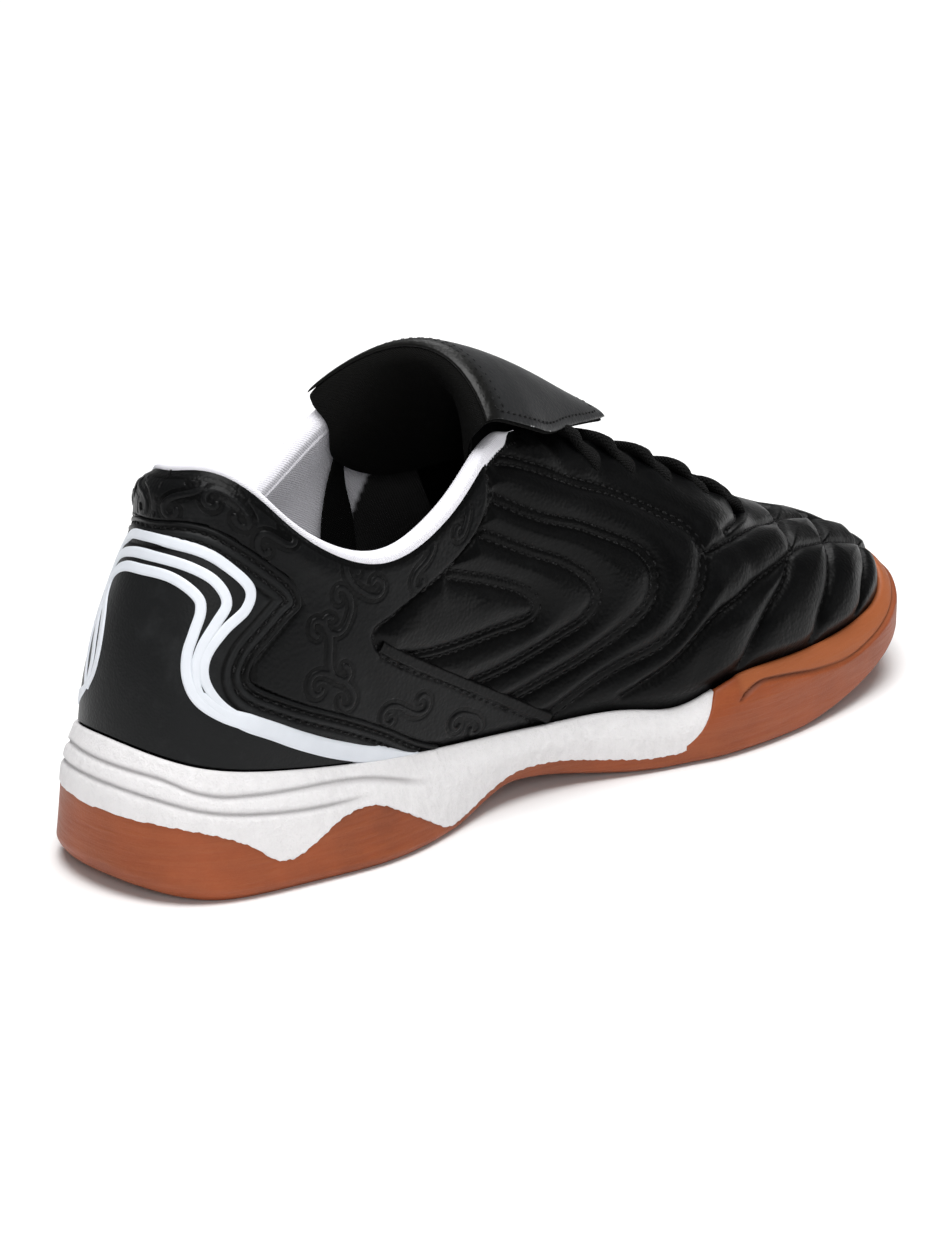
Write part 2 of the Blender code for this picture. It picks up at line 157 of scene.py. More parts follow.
# Outsole: one moulding of gum rubber, with a flat tread, a waved top line along the white foam and
# a guard that wraps the toe up to the upper. It is cemented under the midsole.
SECTION_COLUMNS = ("x", "out_y", "in_y", "rim", "edge_x", "edge_out_y", "edge_in_y",
                   "edge_out_z", "edge_in_z", "rise", "lean", "drop", "slope")
SECTIONS = {
    "heel_back": (0.0, 0.0, 0.0, 39.5, 27.0, 0.0, 0.0, 108.0, 108.0, 28, -2, 26, 24),
    "heel_corner": (9.5, -25.0, 24.5, 36.0, 32.0, -13.5, 13.5, 108.5, 103.5, 27, -3, 24, 18),
    "heel_side": (38.0, -34.5, 33.5, 30.5, 45.0, -26.0, 25.5, 94.0, 91.0, 25, 4, 22, 11),
    "ankle": (76.0, -35.0, 31.5, 24.5, 70.0, -32.0, 30.0, 81.5, 80.0, 24, 8, 20, 6),
    "waist": (114.0, -33.5, 28.5, 20.3, 98.0, -29.0, 27.5, 89.5, 98.0, 25, 12, 25, 10),
    "instep": (150.0, -38.5, 33.5, 19.5, 119.0, -22.5, 22.0, 101.0, 104.0, 30, 12, 30, 28),
    "ball": (186.0, -46.0, 44.0, 22.0, 150.0, -14.0, 15.0, 92.0, 93.0, 22, 12, 30, 50),
    "toes": (223.0, -44.5, 45.0, 21.0, 187.0, -11.0, 12.0, 75.0, 75.0, 19, 8, 24, 60),
    "toe_corner": (257.0, -36.0, 35.5, 22.5, 208.0, -9.0, 11.0, 62.5, 62.0, 16, 0, 23, 62),
    "toe_side": (276.0, -21.0, 20.5, 26.0, 219.0, -6.0, 7.0, 56.5, 56.0, 12, -12, 23, 63),
    "toe_tip": (283.5, -1.0, -1.0, 28.0, 222.5, 0.5, 0.5, 54.5, 54.5, 10, -14, 23, 64),
}
ROUND = 2 * len(SECTIONS) - 2      # sections in the whole loop, out along one side and back
SOLE_LENGTH = 283.5
RIM_DIP, RIM_DIP_X, RIM_DIP_REACH = 5.0, 171.0, 15.0
ARCH_RISE, TOE_SPRING, HEEL_BEVEL = 5.8, 17.5, 4.0
ARCH_TUCK, HEEL_FLARE, HEEL_SPREAD = 3.5, 2.5, 3.5
PARTING = ((-20, 21.5), (8, 21), (16, 18.5), (24, 14.5), (31, 9.5), (35, 9), (43, 12), (51, 16),
           (58, 17.2), (64, 16.4), (72, 12.5), (80, 8), (89, 3.4), (98, 4.2), (107, 6.8),
           (117, 9.5), (131, 9.4), (148, 6.6), (164, 4.6), (173, 5.6), (177.5, 9.5), (181.5, 16.5),
           (184.5, 24), (190, 42))
TOE_LEDGE = ((189, 15.2), (192, 16.6), (197, 18.2), (206, 17.8), (221, 15.7), (237, 14.8), (250, 16.6),
             (264.5, 20.0), (276, 23.0), (284, 24.0))
LEDGE_STEP = 0.8
GUARD_PROUD = 0.9                  # the toe guard stands out from the side of the sole
CRACK_DEPTH = 0.7
SIDE_ROUND = 3.0                   # how far the side rounds in at its foot and at its top
GUARD_START, LEDGE_START = (172, 184), (189, 192)    # lengths over which they come up
WALL_ROWS = 72
WALL_OVER = ((0.5, 0.35), (1.2, 0.4), (2.0, 0.0), (2.4, -3.0))    # inward and up, from the top line
TREAD_DEPTH = 1.1
BAR_PITCH, RING_PITCH = 7.5, 6.5
ZIGZAG_WIDTH, ZIGZAG_DEPTH = 18, 9
PIVOT = (207.0, 0.0)               # middle of the turning circle under the ball of the foot
PIVOT_RADIUS = 26
HALF_POINTS = 301                  # points along half of the loop
GUM_BROWN = (0.32, 0.070, 0.018, 1.0)
GUM_DARK = (0.21, 0.048, 0.015, 1.0)
GUM_LIP = (0.36, 0.105, 0.033, 1.0)
# Painted shadow: the crack under the toe ledge is coloured dark where its shade falls.
CRACK_BROWN = (0.09, 0.02, 0.008, 1.0)


def smooth_step(x, start, end):
    """0 before start, 1 after end, and a smooth cubic between."""
    f = np.clip((x - start) / (end - start), 0, 1)
    return f * f * (3 - 2 * f)


def bell(x, middle, width):
    """Bell curve: 1 at its middle, falling off by the square of the distance over its width."""
    return np.exp(-((x - middle) / width) ** 2)


def cubic(first, last, slope, next_slope, f):
    """Cubic from a first value to a last one at shares f of the way, with its slopes at both."""
    rise = last - first
    bend = (3 * rise - 2 * slope - next_slope) * f ** 2
    return first + slope * f + bend + (slope + next_slope - 2 * rise) * f ** 3


def smooth_curve(points, at):
    """Curve through points (place, height): a cubic from each to the next, its slopes set by the
    neighbours, and level beyond both ends."""
    places, heights = np.array(points, float).T
    slopes = np.gradient(heights, places)
    at = np.clip(at, places[0], places[-1])
    i = np.clip(np.searchsorted(places, at, "right") - 1, 0, len(places) - 2)
    width = places[i + 1] - places[i]
    f = (at - places[i]) / width
    return cubic(heights[i], heights[i + 1], slopes[i] * width, slopes[i + 1] * width, f)


def closed_spline(rows, at):
    """Smooth closed curve through rows, whose parameter grows by one from row to row."""
    n = len(rows)
    one_on = np.roll(np.eye(n), 1, 1)
    ahead = 3 * (np.roll(rows, -1, 0) - np.roll(rows, 1, 0))
    slope = np.linalg.solve(4 * np.eye(n) + one_on + one_on.T, ahead)
    i = np.floor(at).astype(int) % n
    j = (i + 1) % n
    return cubic(rows[i], rows[j], slope[i], slope[j], (at - np.floor(at))[:, None])


def section_loop():
    """The sections as one loop: along the outer side to the toe, and back along the inner side."""
    table = np.array(list(SECTIONS.values()))
    column = {name: table[:, i] for i, name in enumerate(SECTION_COLUMNS)}
    out, back = (np.stack([column[name] for name in ("x", f"{side}_y", "rim", "edge_x", f"edge_{side}_y",
                                                     f"edge_{side}_z", "rise", "lean", "drop", "slope")], 1)
                 for side in ("out", "in"))
    return np.concatenate([out, back[-2:0:-1]])


LOOP = section_loop()


def plan_normal(t, columns):
    """Outward direction, in plan, of the closed curve that two columns of the loop draw."""
    along = closed_spline(LOOP, t + 0.01)[:, columns] - closed_spline(LOOP, t - 0.01)[:, columns]
    return unit(np.stack([along[:, 1], -along[:, 0], np.zeros(len(t))], 1))


def outline(t):
    """The sole's outline on the floor, its outward direction, and the height of the rim, which
    dips in a bell curve where the white foam ends."""
    row = closed_spline(LOOP, t)
    plan = np.stack([row[:, 0], row[:, 1], np.zeros(len(t))], 1)
    return plan, plan_normal(t, [0, 1]), row[:, 2] - RIM_DIP * bell(row[:, 0], RIM_DIP_X, RIM_DIP_REACH)


def tread_height(x):
    """Underside of the sole: flat under heel and ball, raised at arch, toe and the heel's back."""
    arch = ARCH_RISE * smooth_step(x, 92, 120) * (1 - smooth_step(x, 112, 166))
    toe = TOE_SPRING * np.clip((x - 214) / (SOLE_LENGTH - 214), 0, 1) ** 1.5
    return arch + toe + HEEL_BEVEL * np.clip(1 - x / 22, 0, 1.2) ** 2


def sole_side(t, g, proud=0.0):
    """Side of the sole at sections t and shares g of its height: rounded in to the tread at its foot
    and to the rim at its top, and drawn in under the arch or spread under the heel lower down."""
    plan, out, rim = outline(t)
    x = plan[:, 0]
    spread_out = HEEL_FLARE * (1 - smooth_step(x, 80, 112)) + HEEL_SPREAD * bell(x, 68, 22)
    tuck = ARCH_TUCK * bell(x, 132, 22) - spread_out
    rounding = np.clip(1 - g / 0.12, 0, 1) ** 2 + np.clip((g - 0.6) / 0.4, 0, 1) ** 1.8
    inset = SIDE_ROUND * rounding + (1 - g) ** 1.2 * tuck
    points = plan - out * (inset - proud)[:, None]
    tread = tread_height(points[:, 0])
    points[:, 2] = tread + g * (rim - tread)
    return points


def grid_faces(rows, columns, turned=False):
    """Four-cornered faces of a grid of points; turned faces point the other way."""
    i, j = np.meshgrid(np.arange(rows - 1), np.arange(columns - 1), indexing="ij")
    first = (i * columns + j).ravel()
    corners = np.stack([first, first + 1, first + columns + 1, first + columns], 1)
    return corners[:, ::-1] if turned else corners


def add_piece(name, grids, surface, slot, replaces=(), uv=(), **marks):
    """One object from grids of points in millimetres, given as (points, turned). Points that meet are
    welded. uv and marks hold values for the points, a grid after another."""
    points = np.concatenate([grid.reshape(-1, 3) for grid, _ in grids])
    starts = np.cumsum([0] + [grid.size // 3 for grid, _ in grids])
    faces = np.concatenate([grid_faces(*grid.shape[:2], turned) + start
                            for (grid, turned), start in zip(grids, starts)])
    return add_mesh(name, points, faces, surface, slot, replaces, uv, **marks)


def add_mesh(name, points, faces, surface, slot, replaces=(), uv=(), **marks):
    """One object at the origin from points in millimetres and four-cornered faces, welded, smooth,
    with its material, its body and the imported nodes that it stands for."""
    mesh = bpy.data.meshes.new(name)
    mesh.vertices.add(len(points))
    mesh.vertices.foreach_set("co", ((points - SHOE_MIDDLE) * MM).ravel())
    mesh.loops.add(faces.size)
    mesh.loops.foreach_set("vertex_index", faces.ravel())
    mesh.polygons.add(len(faces))
    mesh.polygons.foreach_set("loop_start", np.arange(0, faces.size, 4))
    mesh.update(calc_edges=True)
    if len(uv):
        mesh.uv_layers.new(name="UVMap").data.foreach_set("uv", np.asarray(uv)[faces.ravel()].ravel())
    for mark, values in marks.items():
        mesh.attributes.new(mark, "FLOAT", "POINT").data.foreach_set("value", np.ravel(values))
    shell = bmesh.new()
    shell.from_mesh(mesh)
    bmesh.ops.remove_doubles(shell, verts=shell.verts, dist=1e-6)
    shell.to_mesh(mesh)
    shell.free()
    mesh.validate()
    mesh.shade_smooth()
    mesh.materials.append(surface)
    made = bpy.data.objects.new(name, mesh)
    bpy.context.scene.collection.objects.link(made)
    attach(made, "root")
    if replaces:
        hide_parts(*replaces)
    return made


def new_group(name, inputs, outputs):
    """Empty shader node group with named number inputs, their first values, and number outputs; its
    vector input takes the place on the surface."""
    tree = bpy.data.node_groups.new(name, "ShaderNodeTree")
    tree.interface.new_socket(name="Place", in_out="INPUT", socket_type="NodeSocketVector")
    for label, value in inputs.items():
        socket = tree.interface.new_socket(name=label, in_out="INPUT", socket_type="NodeSocketFloat")
        socket.default_value = value
    for label in outputs:
        tree.interface.new_socket(name=label, in_out="OUTPUT", socket_type="NodeSocketFloat")
    return tree, tree.nodes.new("NodeGroupInput").outputs, tree.nodes.new("NodeGroupOutput").inputs


def math(tree, operation, *values):
    """Math node on values or links; its result."""
    return add_node(tree, "Math", {"operation": operation},
                    **{f"_{i}": value for i, value in enumerate(values)}).outputs[0]


def brush_marks():
    """Group for moulded and buffed rubber: fine strokes that run level round the sole, broken up by a
    slower noise, and a cloudy tone."""
    tree, given, put = new_group("brush_marks", {"Strokes": 900.0, "Length": 70.0}, ("Height", "Cloud"))
    stretch = add_node(tree, "CombineXYZ", X=given["Length"], Y=given["Length"], Z=given["Strokes"])
    place = add_node(tree, "VectorMath", {"operation": "MULTIPLY"}, _0=given["Place"], _1=stretch.outputs[0])
    strokes = add_node(tree, "TexNoise", Vector=place.outputs[0], Scale=1.0, Detail=4.0, Roughness=0.65)
    pores = add_node(tree, "TexNoise", Vector=given["Place"], Scale=1800.0, Detail=2.0)
    cloud = add_node(tree, "TexNoise", Vector=given["Place"], Scale=38.0, Detail=4.0, Roughness=0.6)
    height = math(tree, "MULTIPLY_ADD", pores.outputs["Fac"], 0.35, strokes.outputs["Fac"])
    tree.links.new(height, put["Height"])
    tree.links.new(cloud.outputs["Fac"], put["Cloud"])
    return tree


BRUSH_MARKS = brush_marks()


def use_group(tree, group, **values):
    """Group node whose Place is the object's own coordinates, unless another is given."""
    made = tree.nodes.new("ShaderNodeGroup")
    made.node_tree = group
    values.setdefault("Place", add_node(tree, "TexCoord").outputs["Object"])
    for name, value in values.items():
        fill_socket(tree, made.inputs[name], value)
    return made.outputs


def mark_value(tree, name):
    """Value of one of the mesh's own marks."""
    return add_node(tree, "Attribute", {"attribute_name": name}).outputs["Fac"]


def blend_colour(tree, share, first, second):
    """Mix of two colours or links by a share."""
    return add_node(tree, "Mix", {"data_type": "RGBA"}, _0=share, _6=first, _7=second).outputs[2]


def spread(tree, value, low, high, to_low=0.0, to_high=1.0):
    """Value moved from one range to another and held there."""
    return add_node(tree, "MapRange", Value=value, From_Min=low, From_Max=high, To_Min=to_low,
                    To_Max=to_high).outputs[0]


def raise_bump(tree, shader, height, depth):
    """Bump of a depth in metres on the shader's normal."""
    bump = add_node(tree, "Bump", Strength=1.0, Distance=depth, Height=height)
    tree.links.new(bump.outputs["Normal"], shader.inputs["Normal"])


def gum_rubber():
    """Gum rubber: warm brown, cloudy, with level buffing strokes, a lighter lip at the toe and painted shade
    in the crack below it.
    """
    made, tree, shader = new_material("gum_rubber")
    marks = use_group(tree, BRUSH_MARKS, Strokes=850.0, Length=60.0)
    body = blend_colour(tree, spread(tree, marks["Cloud"], 0.3, 0.7), GUM_DARK, GUM_BROWN)
    stroked = blend_colour(tree, spread(tree, marks["Height"], 0.55, 0.95, 0.0, 0.35), body, GUM_LIP)
    lipped = blend_colour(tree, math(tree, "MULTIPLY", mark_value(tree, "lip"), 0.75), stroked, GUM_LIP)
    # Painted shadow in the crack under the toe ledge.
    cracked = blend_colour(tree, mark_value(tree, "crack"), lipped, CRACK_BROWN)
    tree.links.new(cracked, shader.inputs["Base Color"])
    tree.links.new(spread(tree, marks["Height"], 0.3, 1.0, 0.62, 0.42), shader.inputs["Roughness"])
    shader.inputs["Specular IOR Level"].default_value = 0.35
    raise_bump(tree, shader, marks["Height"], 0.00025)
    return made


def outsole_wall(t):
    """Wall of the outsole from the tread's edge up to its top line, and over into the sole. The part
    below the toe ledge stands a step proud of the lip above it."""
    rise = np.linspace(0, 1, WALL_ROWS) ** 1.2
    plan, _, rim = outline(t)
    tread = tread_height(plan[:, 0])
    top = np.clip((smooth_curve(PARTING, plan[:, 0]) + 1.3 - tread) / (rim - tread), 0.0, 1.0)
    g = rise[:, None] * top
    flat_t, flat_g = np.tile(t, len(rise)), g.ravel()
    bare = sole_side(flat_t, flat_g)
    x = bare[:, 0]
    above = bare[:, 2] - smooth_curve(TOE_LEDGE, x)
    ledge = smooth_step(above, -0.2, 0.3) * smooth_step(x, *LEDGE_START)
    # The crack's mask sinks it and also paints its shadow.
    crack = bell(above, 0.25, 0.38) * smooth_step(x, 188.5, 190) * (1 - 0.5 * smooth_step(x, 210, 235))
    proud = smooth_step(x, *GUARD_START) * (GUARD_PROUD - LEDGE_STEP * ledge) - CRACK_DEPTH * crack
    wall = sole_side(flat_t, flat_g, proud).reshape(len(rise), len(t), 3)
    out = outline(t)[1]
    over = [wall[-1] - out * inward + np.array([0, 0, up]) for inward, up in WALL_OVER]
    marks = [np.concatenate([mark, np.tile(mark[-1], (len(over), 1))])
             for mark in (ledge.reshape(g.shape), crack.reshape(g.shape))]
    return np.concatenate([wall, np.array(over)]), *marks


def tread_field(t):
    """Underside, from the outer edge at t to the inner edge at the same place along the shoe: grooves
    in a herringbone, with rings round the turning circle, and a smooth border and waist."""
    edge_out, edge_in = sole_side(t, np.zeros(len(t))), sole_side(ROUND - t, np.zeros(len(t)))
    across = np.linspace(0, 1, 101)[None, :, None]
    field = edge_out[:, None] * (1 - across) + edge_in[:, None] * across
    x, y = field[..., 0], field[..., 1]
    zigzag = np.abs((y / ZIGZAG_WIDTH) % 2 - 1) * ZIGZAG_DEPTH
    bars = np.sin(2 * np.pi * (x + zigzag) / BAR_PITCH)
    far = np.hypot(x - PIVOT[0], y - PIVOT[1])
    rings = np.sin(2 * np.pi * far / RING_PITCH)
    wave = np.where(far < PIVOT_RADIUS, rings, bars)
    border = np.minimum(np.linalg.norm(field - edge_out[:, None], axis=2),
                        np.linalg.norm(field - edge_in[:, None], axis=2))
    ends = np.minimum(x - x.min(), x.max() - x)
    cut = smooth_step(wave, 0.35, 0.75) * smooth_step(np.minimum(border, ends), 4.5, 5.5)
    cut = cut * np.maximum(1 - smooth_step(x, 88, 94), smooth_step(x, 150, 158))
    field[..., 2] = tread_height(x) + TREAD_DEPTH * cut
    field[:, [0, -1], 2] = np.stack([edge_out[:, 2], edge_in[:, 2]], 1)
    return field


around = np.linspace(0, ROUND, 2 * HALF_POINTS - 1)
wall_grid, lip_mark, crack_mark = outsole_wall(around)
tread_grid = tread_field(np.linspace(0, ROUND / 2, HALF_POINTS))
bed_out, bed_in = wall_grid[-1, :HALF_POINTS], wall_grid[-1, :HALF_POINTS - 2:-1]
bed_grid = np.stack([bed_out, (bed_out + bed_in) / 2, bed_in], 1)
unmarked = np.zeros((tread_grid.size + bed_grid.size) // 3)
add_piece("outsole_gum", [(wall_grid, False), (tread_grid, False), (bed_grid, True)], gum_rubber(),
          "gum_rubber", ["outsole"], lip=np.append(lip_mark, unmarked),
          crack=np.append(crack_mark, unmarked))

# Midsole: a white moulded foam wedge, thick under the heel and thin at the ball, with two grooves
# round the heel. Its side is brushed, and its lower edge is a little ragged where it meets the gum.
WHITE_END = 5.90                   # section where the foam ends, behind the toe guard
HEEL_GROOVES = (((0, 34.6), (6, 33), (10, 30.6), (14.5, 29), (25, 27.5), (37, 26.3), (49, 25.2),
                 (62, 23.2), (81, 17.6), (95, 14.0)),
                ((0, 29.4), (4.6, 27.8), (9.5, 26), (16, 24.3), (26.5, 22.5), (40, 20.7), (57, 19.4),
                 (75, 18.4)))
GROOVE_ENDS = ((72, 88), (48, 66))
GROOVE_DEPTH = 0.9
GROOVE_WIDTH = 0.75
FOAM_SWELL = 0.35
FOAM_ROWS, FOAM_COLUMNS = 52, 661
FOAM_UNDER = ((3.0, 0.0), (0.5, -0.25), (0.12, -0.15))    # inward and up, from the lower edge
FOAM_OVER = ((0.35, 0.3), (0.9, 0.42), (1.5, 0.3), (1.9, -0.2), (2.0, -3.0))    # and from the rim
FOAM_WHITE = (0.80, 0.785, 0.79, 1.0)
FOAM_GREY = (0.69, 0.675, 0.68, 1.0)
# Painted shade: grey in the heel grooves, where their shadow falls.
GROOVE_GREY = (0.50, 0.485, 0.49, 1.0)


def white_foam():
    """White foam: brushed up and down in fine creases, faintly cloudy, and painted grey as shade in its
    grooves.
    """
    made, tree, shader = new_material("white_foam")
    marks = use_group(tree, BRUSH_MARKS, Strokes=260.0, Length=420.0)
    body = blend_colour(tree, spread(tree, marks["Cloud"], 0.3, 0.75), FOAM_GREY, FOAM_WHITE)
    brushed = blend_colour(tree, spread(tree, marks["Height"], 0.5, 0.85), body, FOAM_WHITE)
    # Painted shade in the heel grooves.
    grooved = blend_colour(tree, mark_value(tree, "groove"), brushed, GROOVE_GREY)
    tree.links.new(grooved, shader.inputs["Base Color"])
    tree.links.new(spread(tree, marks["Cloud"], 0.2, 0.8, 0.62, 0.8), shader.inputs["Roughness"])
    shader.inputs["Specular IOR Level"].default_value = 0.3
    raise_bump(tree, shader, marks["Height"], 0.0006)
    return made


def midsole_side(t):
    """Side of the foam from its lower edge to the rim and down inside. Grooves are bell-shaped cuts
    along lines of height; the lower edge wavers by a few tenths of a millimetre."""
    plan, out, rim = outline(t)
    x, tread = plan[:, 0], tread_height(plan[:, 0])
    turn = np.sign(t)
    ragged = 0.12 * np.sin(x * 1.7 + turn) + 0.10 * np.sin(x * 3.3 + 2 * turn) + 0.05 * np.sin(x * 7.9)
    low = np.clip((smooth_curve(PARTING, x) + ragged - tread) / (rim - tread), 0.0, 0.985)
    rise = np.linspace(0, 1, FOAM_ROWS)[:, None]
    g = (low + (1 - low) * rise).ravel()
    flat_t = np.tile(t, FOAM_ROWS)
    bare = sole_side(flat_t, g)
    groove = np.zeros(len(g))
    for line, (fade, end) in zip(HEEL_GROOVES, GROOVE_ENDS):
        away = bare[:, 2] - smooth_curve(line, bare[:, 0])
        groove = np.maximum(groove, bell(away, 0, GROOVE_WIDTH) * (1 - smooth_step(bare[:, 0], fade, end)))
    swell = FOAM_SWELL * (1 - smooth_step(bare[:, 0], 150, 172))
    side = sole_side(flat_t, g, swell - GROOVE_DEPTH * groove).reshape(FOAM_ROWS, len(t), 3)
    under = [side[0] - out * inward + np.array([0, 0, up]) for inward, up in FOAM_UNDER]
    thin = (1 - smooth_step(low, 0.75, 0.97))[:, None]
    over = [side[-1] - out * inward + np.array([0, 0, up]) * thin for inward, up in FOAM_OVER]
    # The grooves' mask also paints their shade.
    groove = groove.reshape(FOAM_ROWS, len(t))
    level = np.zeros((1, len(t)))
    return (np.concatenate([np.array(under), side, np.array(over), under[0][None]]),
            np.concatenate([level, level, level, groove] + [level] * 6))


midsole_grid, groove_mark = midsole_side(np.linspace(-WHITE_END, WHITE_END, FOAM_COLUMNS))
add_piece("midsole_foam", [(midsole_grid, False)], white_foam(), "white_foam", ["midsole"],
          groove=groove_mark)

# Insole: a sheet of foam faced with dark cloth, dished a little at its edges. It lies loose on the
# footbed inside the upper.
FOOTBED = ((0, 25), (38, 21.5), (76, 16.5), (114, 12), (160, 11.5), (205, 11), (245, 12), (284, 18))
INSOLE_INSET = 7.8
INSOLE_WALL = 4.0
INSOLE_DISH = 1.6
BED_GAP = 0.5
CLOTH_BLACK = (0.014, 0.014, 0.015, 1.0)
CLOTH_GREY = (0.05, 0.05, 0.053, 1.0)


def woven_cloth():
    """Group for plain weave: threads over and under on the surface's own coordinates, in millimetres,
    as the product of two sine waves, with a loose fuzz."""
    tree, given, put = new_group("woven_cloth", {"Pitch": 0.8, "Fuzz": 0.4}, ("Height", "Thread"))
    turn = math(tree, "DIVIDE", 2 * np.pi, given["Pitch"])
    along = add_node(tree, "SeparateXYZ", Vector=given["Place"])
    waves = [math(tree, "SINE", math(tree, "MULTIPLY", along.outputs[axis], turn)) for axis in ("X", "Y")]
    weave = math(tree, "MULTIPLY", *waves)
    fuzz = add_node(tree, "TexNoise", Vector=given["Place"], Scale=2.2, Detail=4.0, Roughness=0.7)
    height = math(tree, "MULTIPLY_ADD", fuzz.outputs["Fac"], given["Fuzz"], weave)
    tree.links.new(height, put["Height"])
    tree.links.new(spread(tree, height, -0.6, 1.2), put["Thread"])
    return tree


WOVEN_CLOTH = woven_cloth()


def cloth(name, dark, light, pitch, depth, fuzz=0.4, sheen=0.0):
    """Cloth in two tones of thread, on a weave that follows the piece's own UV map."""
    made, tree, shader = new_material(name)
    place = add_node(tree, "UVMap", {"uv_map": "UVMap"}).outputs["UV"]
    weave = use_group(tree, WOVEN_CLOTH, Place=place, Pitch=pitch, Fuzz=fuzz)
    tree.links.new(blend_colour(tree, weave["Thread"], dark, light), shader.inputs["Base Color"])
    tree.links.new(spread(tree, weave["Thread"], 0.0, 1.0, 0.95, 0.8), shader.inputs["Roughness"])
    shader.inputs["Specular IOR Level"].default_value = 0.1
    shader.inputs["Sheen Weight"].default_value = sheen
    raise_bump(tree, shader, weave["Height"], depth)
    return made


def insole_sheet(t):
    """Sheet between the outline's two sides: its edges dished up by a high power of the share."""
    plan_out, out, _ = outline(t)
    plan_in, inward, _ = outline(ROUND - t)
    first, last = plan_out - out * INSOLE_INSET, plan_in - inward * INSOLE_INSET
    across = np.linspace(0, 1, 41)[None, :, None]
    sheet = first[:, None] * (1 - across) + last[:, None] * across
    bed = np.interp(sheet[..., 0], *np.array(FOOTBED, float).T) + BED_GAP
    dish = INSOLE_DISH * np.abs(2 * across[..., 0] - 1) ** 6
    top, bottom = sheet.copy(), sheet[:, ::-1].copy()
    top[..., 2] = bed + INSOLE_WALL - 0.6 + dish * (1 - smooth_step(sheet[..., 0], 90, 150))
    bottom[..., 2] = bed[:, ::-1]
    return np.concatenate([top, bottom, top[:, :1]], 1)


insole_grid = insole_sheet(np.linspace(0, ROUND / 2, 181))
insole_cloth = cloth("insole_cloth", CLOTH_BLACK, CLOTH_GREY, 1.2, 0.0002)
insole = add_piece("insole_sheet", [(insole_grid, True)], insole_cloth, "insole_foam", ["insole"],
                   uv=insole_grid[..., :2].reshape(-1, 2))

# Upper: black leather over thin foam, quilted by double rows of stitches that run in arches round the
# forefoot, with single rows over the toe. It is lasted, and its hem stands inside the rim of the sole.
FEATHER_INSET = 4.8
HEM_DEPTH = 6.5
UPPER_WALL = 2.2
QUILT_SEAMS = {
    "eyestay": ((4.84, 0.95), (5.57, 0.84), (6.09, 0.79), (6.38, 0.72), (6.56, 0.65), (6.51, 0.57),
                (6.33, 0.48), (5.99, 0.36), (5.61, 0.27), (5.13, 0.17), (4.73, 0.09), (4.45, 0.02)),
    "outer_arch": ((4.54, 0.88), (5.01, 0.73), (5.45, 0.67), (5.79, 0.60), (5.84, 0.52), (5.65, 0.42),
                   (5.37, 0.34), (5.05, 0.26), (4.76, 0.21), (4.39, 0.17), (4.05, 0.13)),
    "middle_arch": ((4.28, 0.81), (4.70, 0.65), (4.99, 0.56), (5.13, 0.49), (5.11, 0.42), (4.90, 0.35),
                    (4.63, 0.32), (4.25, 0.29), (3.75, 0.26)),
    "inner_arch": ((3.75, 0.78), (4.17, 0.65), (4.47, 0.54), (4.54, 0.47), (4.40, 0.43), (4.00, 0.45),
                   (3.56, 0.46), (3.05, 0.47)),
}
EDGE_SEAMS = {                     # single rows along the edges of the panel behind the quilting
    "strap": ((2.84, 0.51), (3.12, 0.41), (3.41, 0.32), (3.80, 0.183), (4.09, 0.093), (4.32, 0.02)),
    "rear": ((4.60, 0.97), (4.48, 0.89), (4.19, 0.835), (3.71, 0.815), (3.37, 0.79), (3.0, 0.715),
             (2.83, 0.665), (2.78, 0.60), (2.84, 0.52)),
}
STRAP_RIM = ((2.84, 0.565), (3.04, 0.495), (3.42, 0.36), (3.80, 0.228), (4.18, 0.105), (4.45, 0.03))
TOE_SEAMS = {                      # the first three cross the toe, and the arcs run along it
    "toe_first": ((10.0, 0.675), (9.6, 0.71), (9.21, 0.72), (8.49, 0.65), (7.51, 0.48), (7.01, 0.345),
                  (6.64, 0.25), (6.35, 0.14), (6.19, 0.04)),
    "toe_second": ((10.0, 0.47), (9.6, 0.495), (9.22, 0.50), (8.66, 0.47), (8.07, 0.395), (7.72, 0.325),
                   (7.33, 0.205), (7.15, 0.125), (7.03, 0.03)),
    "toe_third": ((10.0, 0.185), (9.64, 0.205), (9.15, 0.23), (8.66, 0.215), (8.03, 0.16), (7.72, 0.04)),
    "toe_upper": ((6.45, 0.53), (7.0, 0.595), (7.96, 0.72), (8.65, 0.755), (9.27, 0.72), (9.7, 0.55),
                  (9.9, 0.32), (9.95, 0.1)),
    "toe_lower": ((7.51, 0.48), (8.04, 0.525), (8.68, 0.485), (9.01, 0.36), (9.15, 0.23), (9.3, 0.06)),
    "flex": ((7.51, 0.48), (7.23, 0.445), (6.77, 0.385), (6.33, 0.315), (5.93, 0.255), (5.5, 0.16),
             (5.11, 0.05)),
    "throat_end": ((8.9, 0.95), (8.35, 0.86), (7.38, 0.70), (6.96, 0.615)),
}
PANEL_EDGE = ((0.02, 4.47), (0.105, 4.21), (0.24, 3.80), (0.37, 3.43), (0.50, 3.05), (0.57, 2.85),
              (0.66, 2.82), (0.715, 3.0), (0.79, 3.37), (0.825, 3.90), (0.86, 4.36), (0.97, 4.60))
PUFF = 2.2                         # foam between the rows of stitches
PANEL_RISE = 1.1                   # the rear panel lies over the quilting
ROW_APART = 1.25                   # each row of a double seam from its middle line
ROW_RIDGE, ROW_DEPTH = 0.35, 0.40  # ridge between the rows, and the groove that each row pulls
EDGE_DEPTH, SINGLE_DEPTH = 0.5, 0.75
HEEL_BAND = 2.3                    # padded band at the collar's heel
CREASES = (((7.0, 0.60), (6.75, 0.40), 0.5, 4.0), ((6.2, 0.30), (5.75, 0.12), 0.4, 4.0),
           ((3.9, 0.60), (3.4, 0.66), 0.4, 4.5))
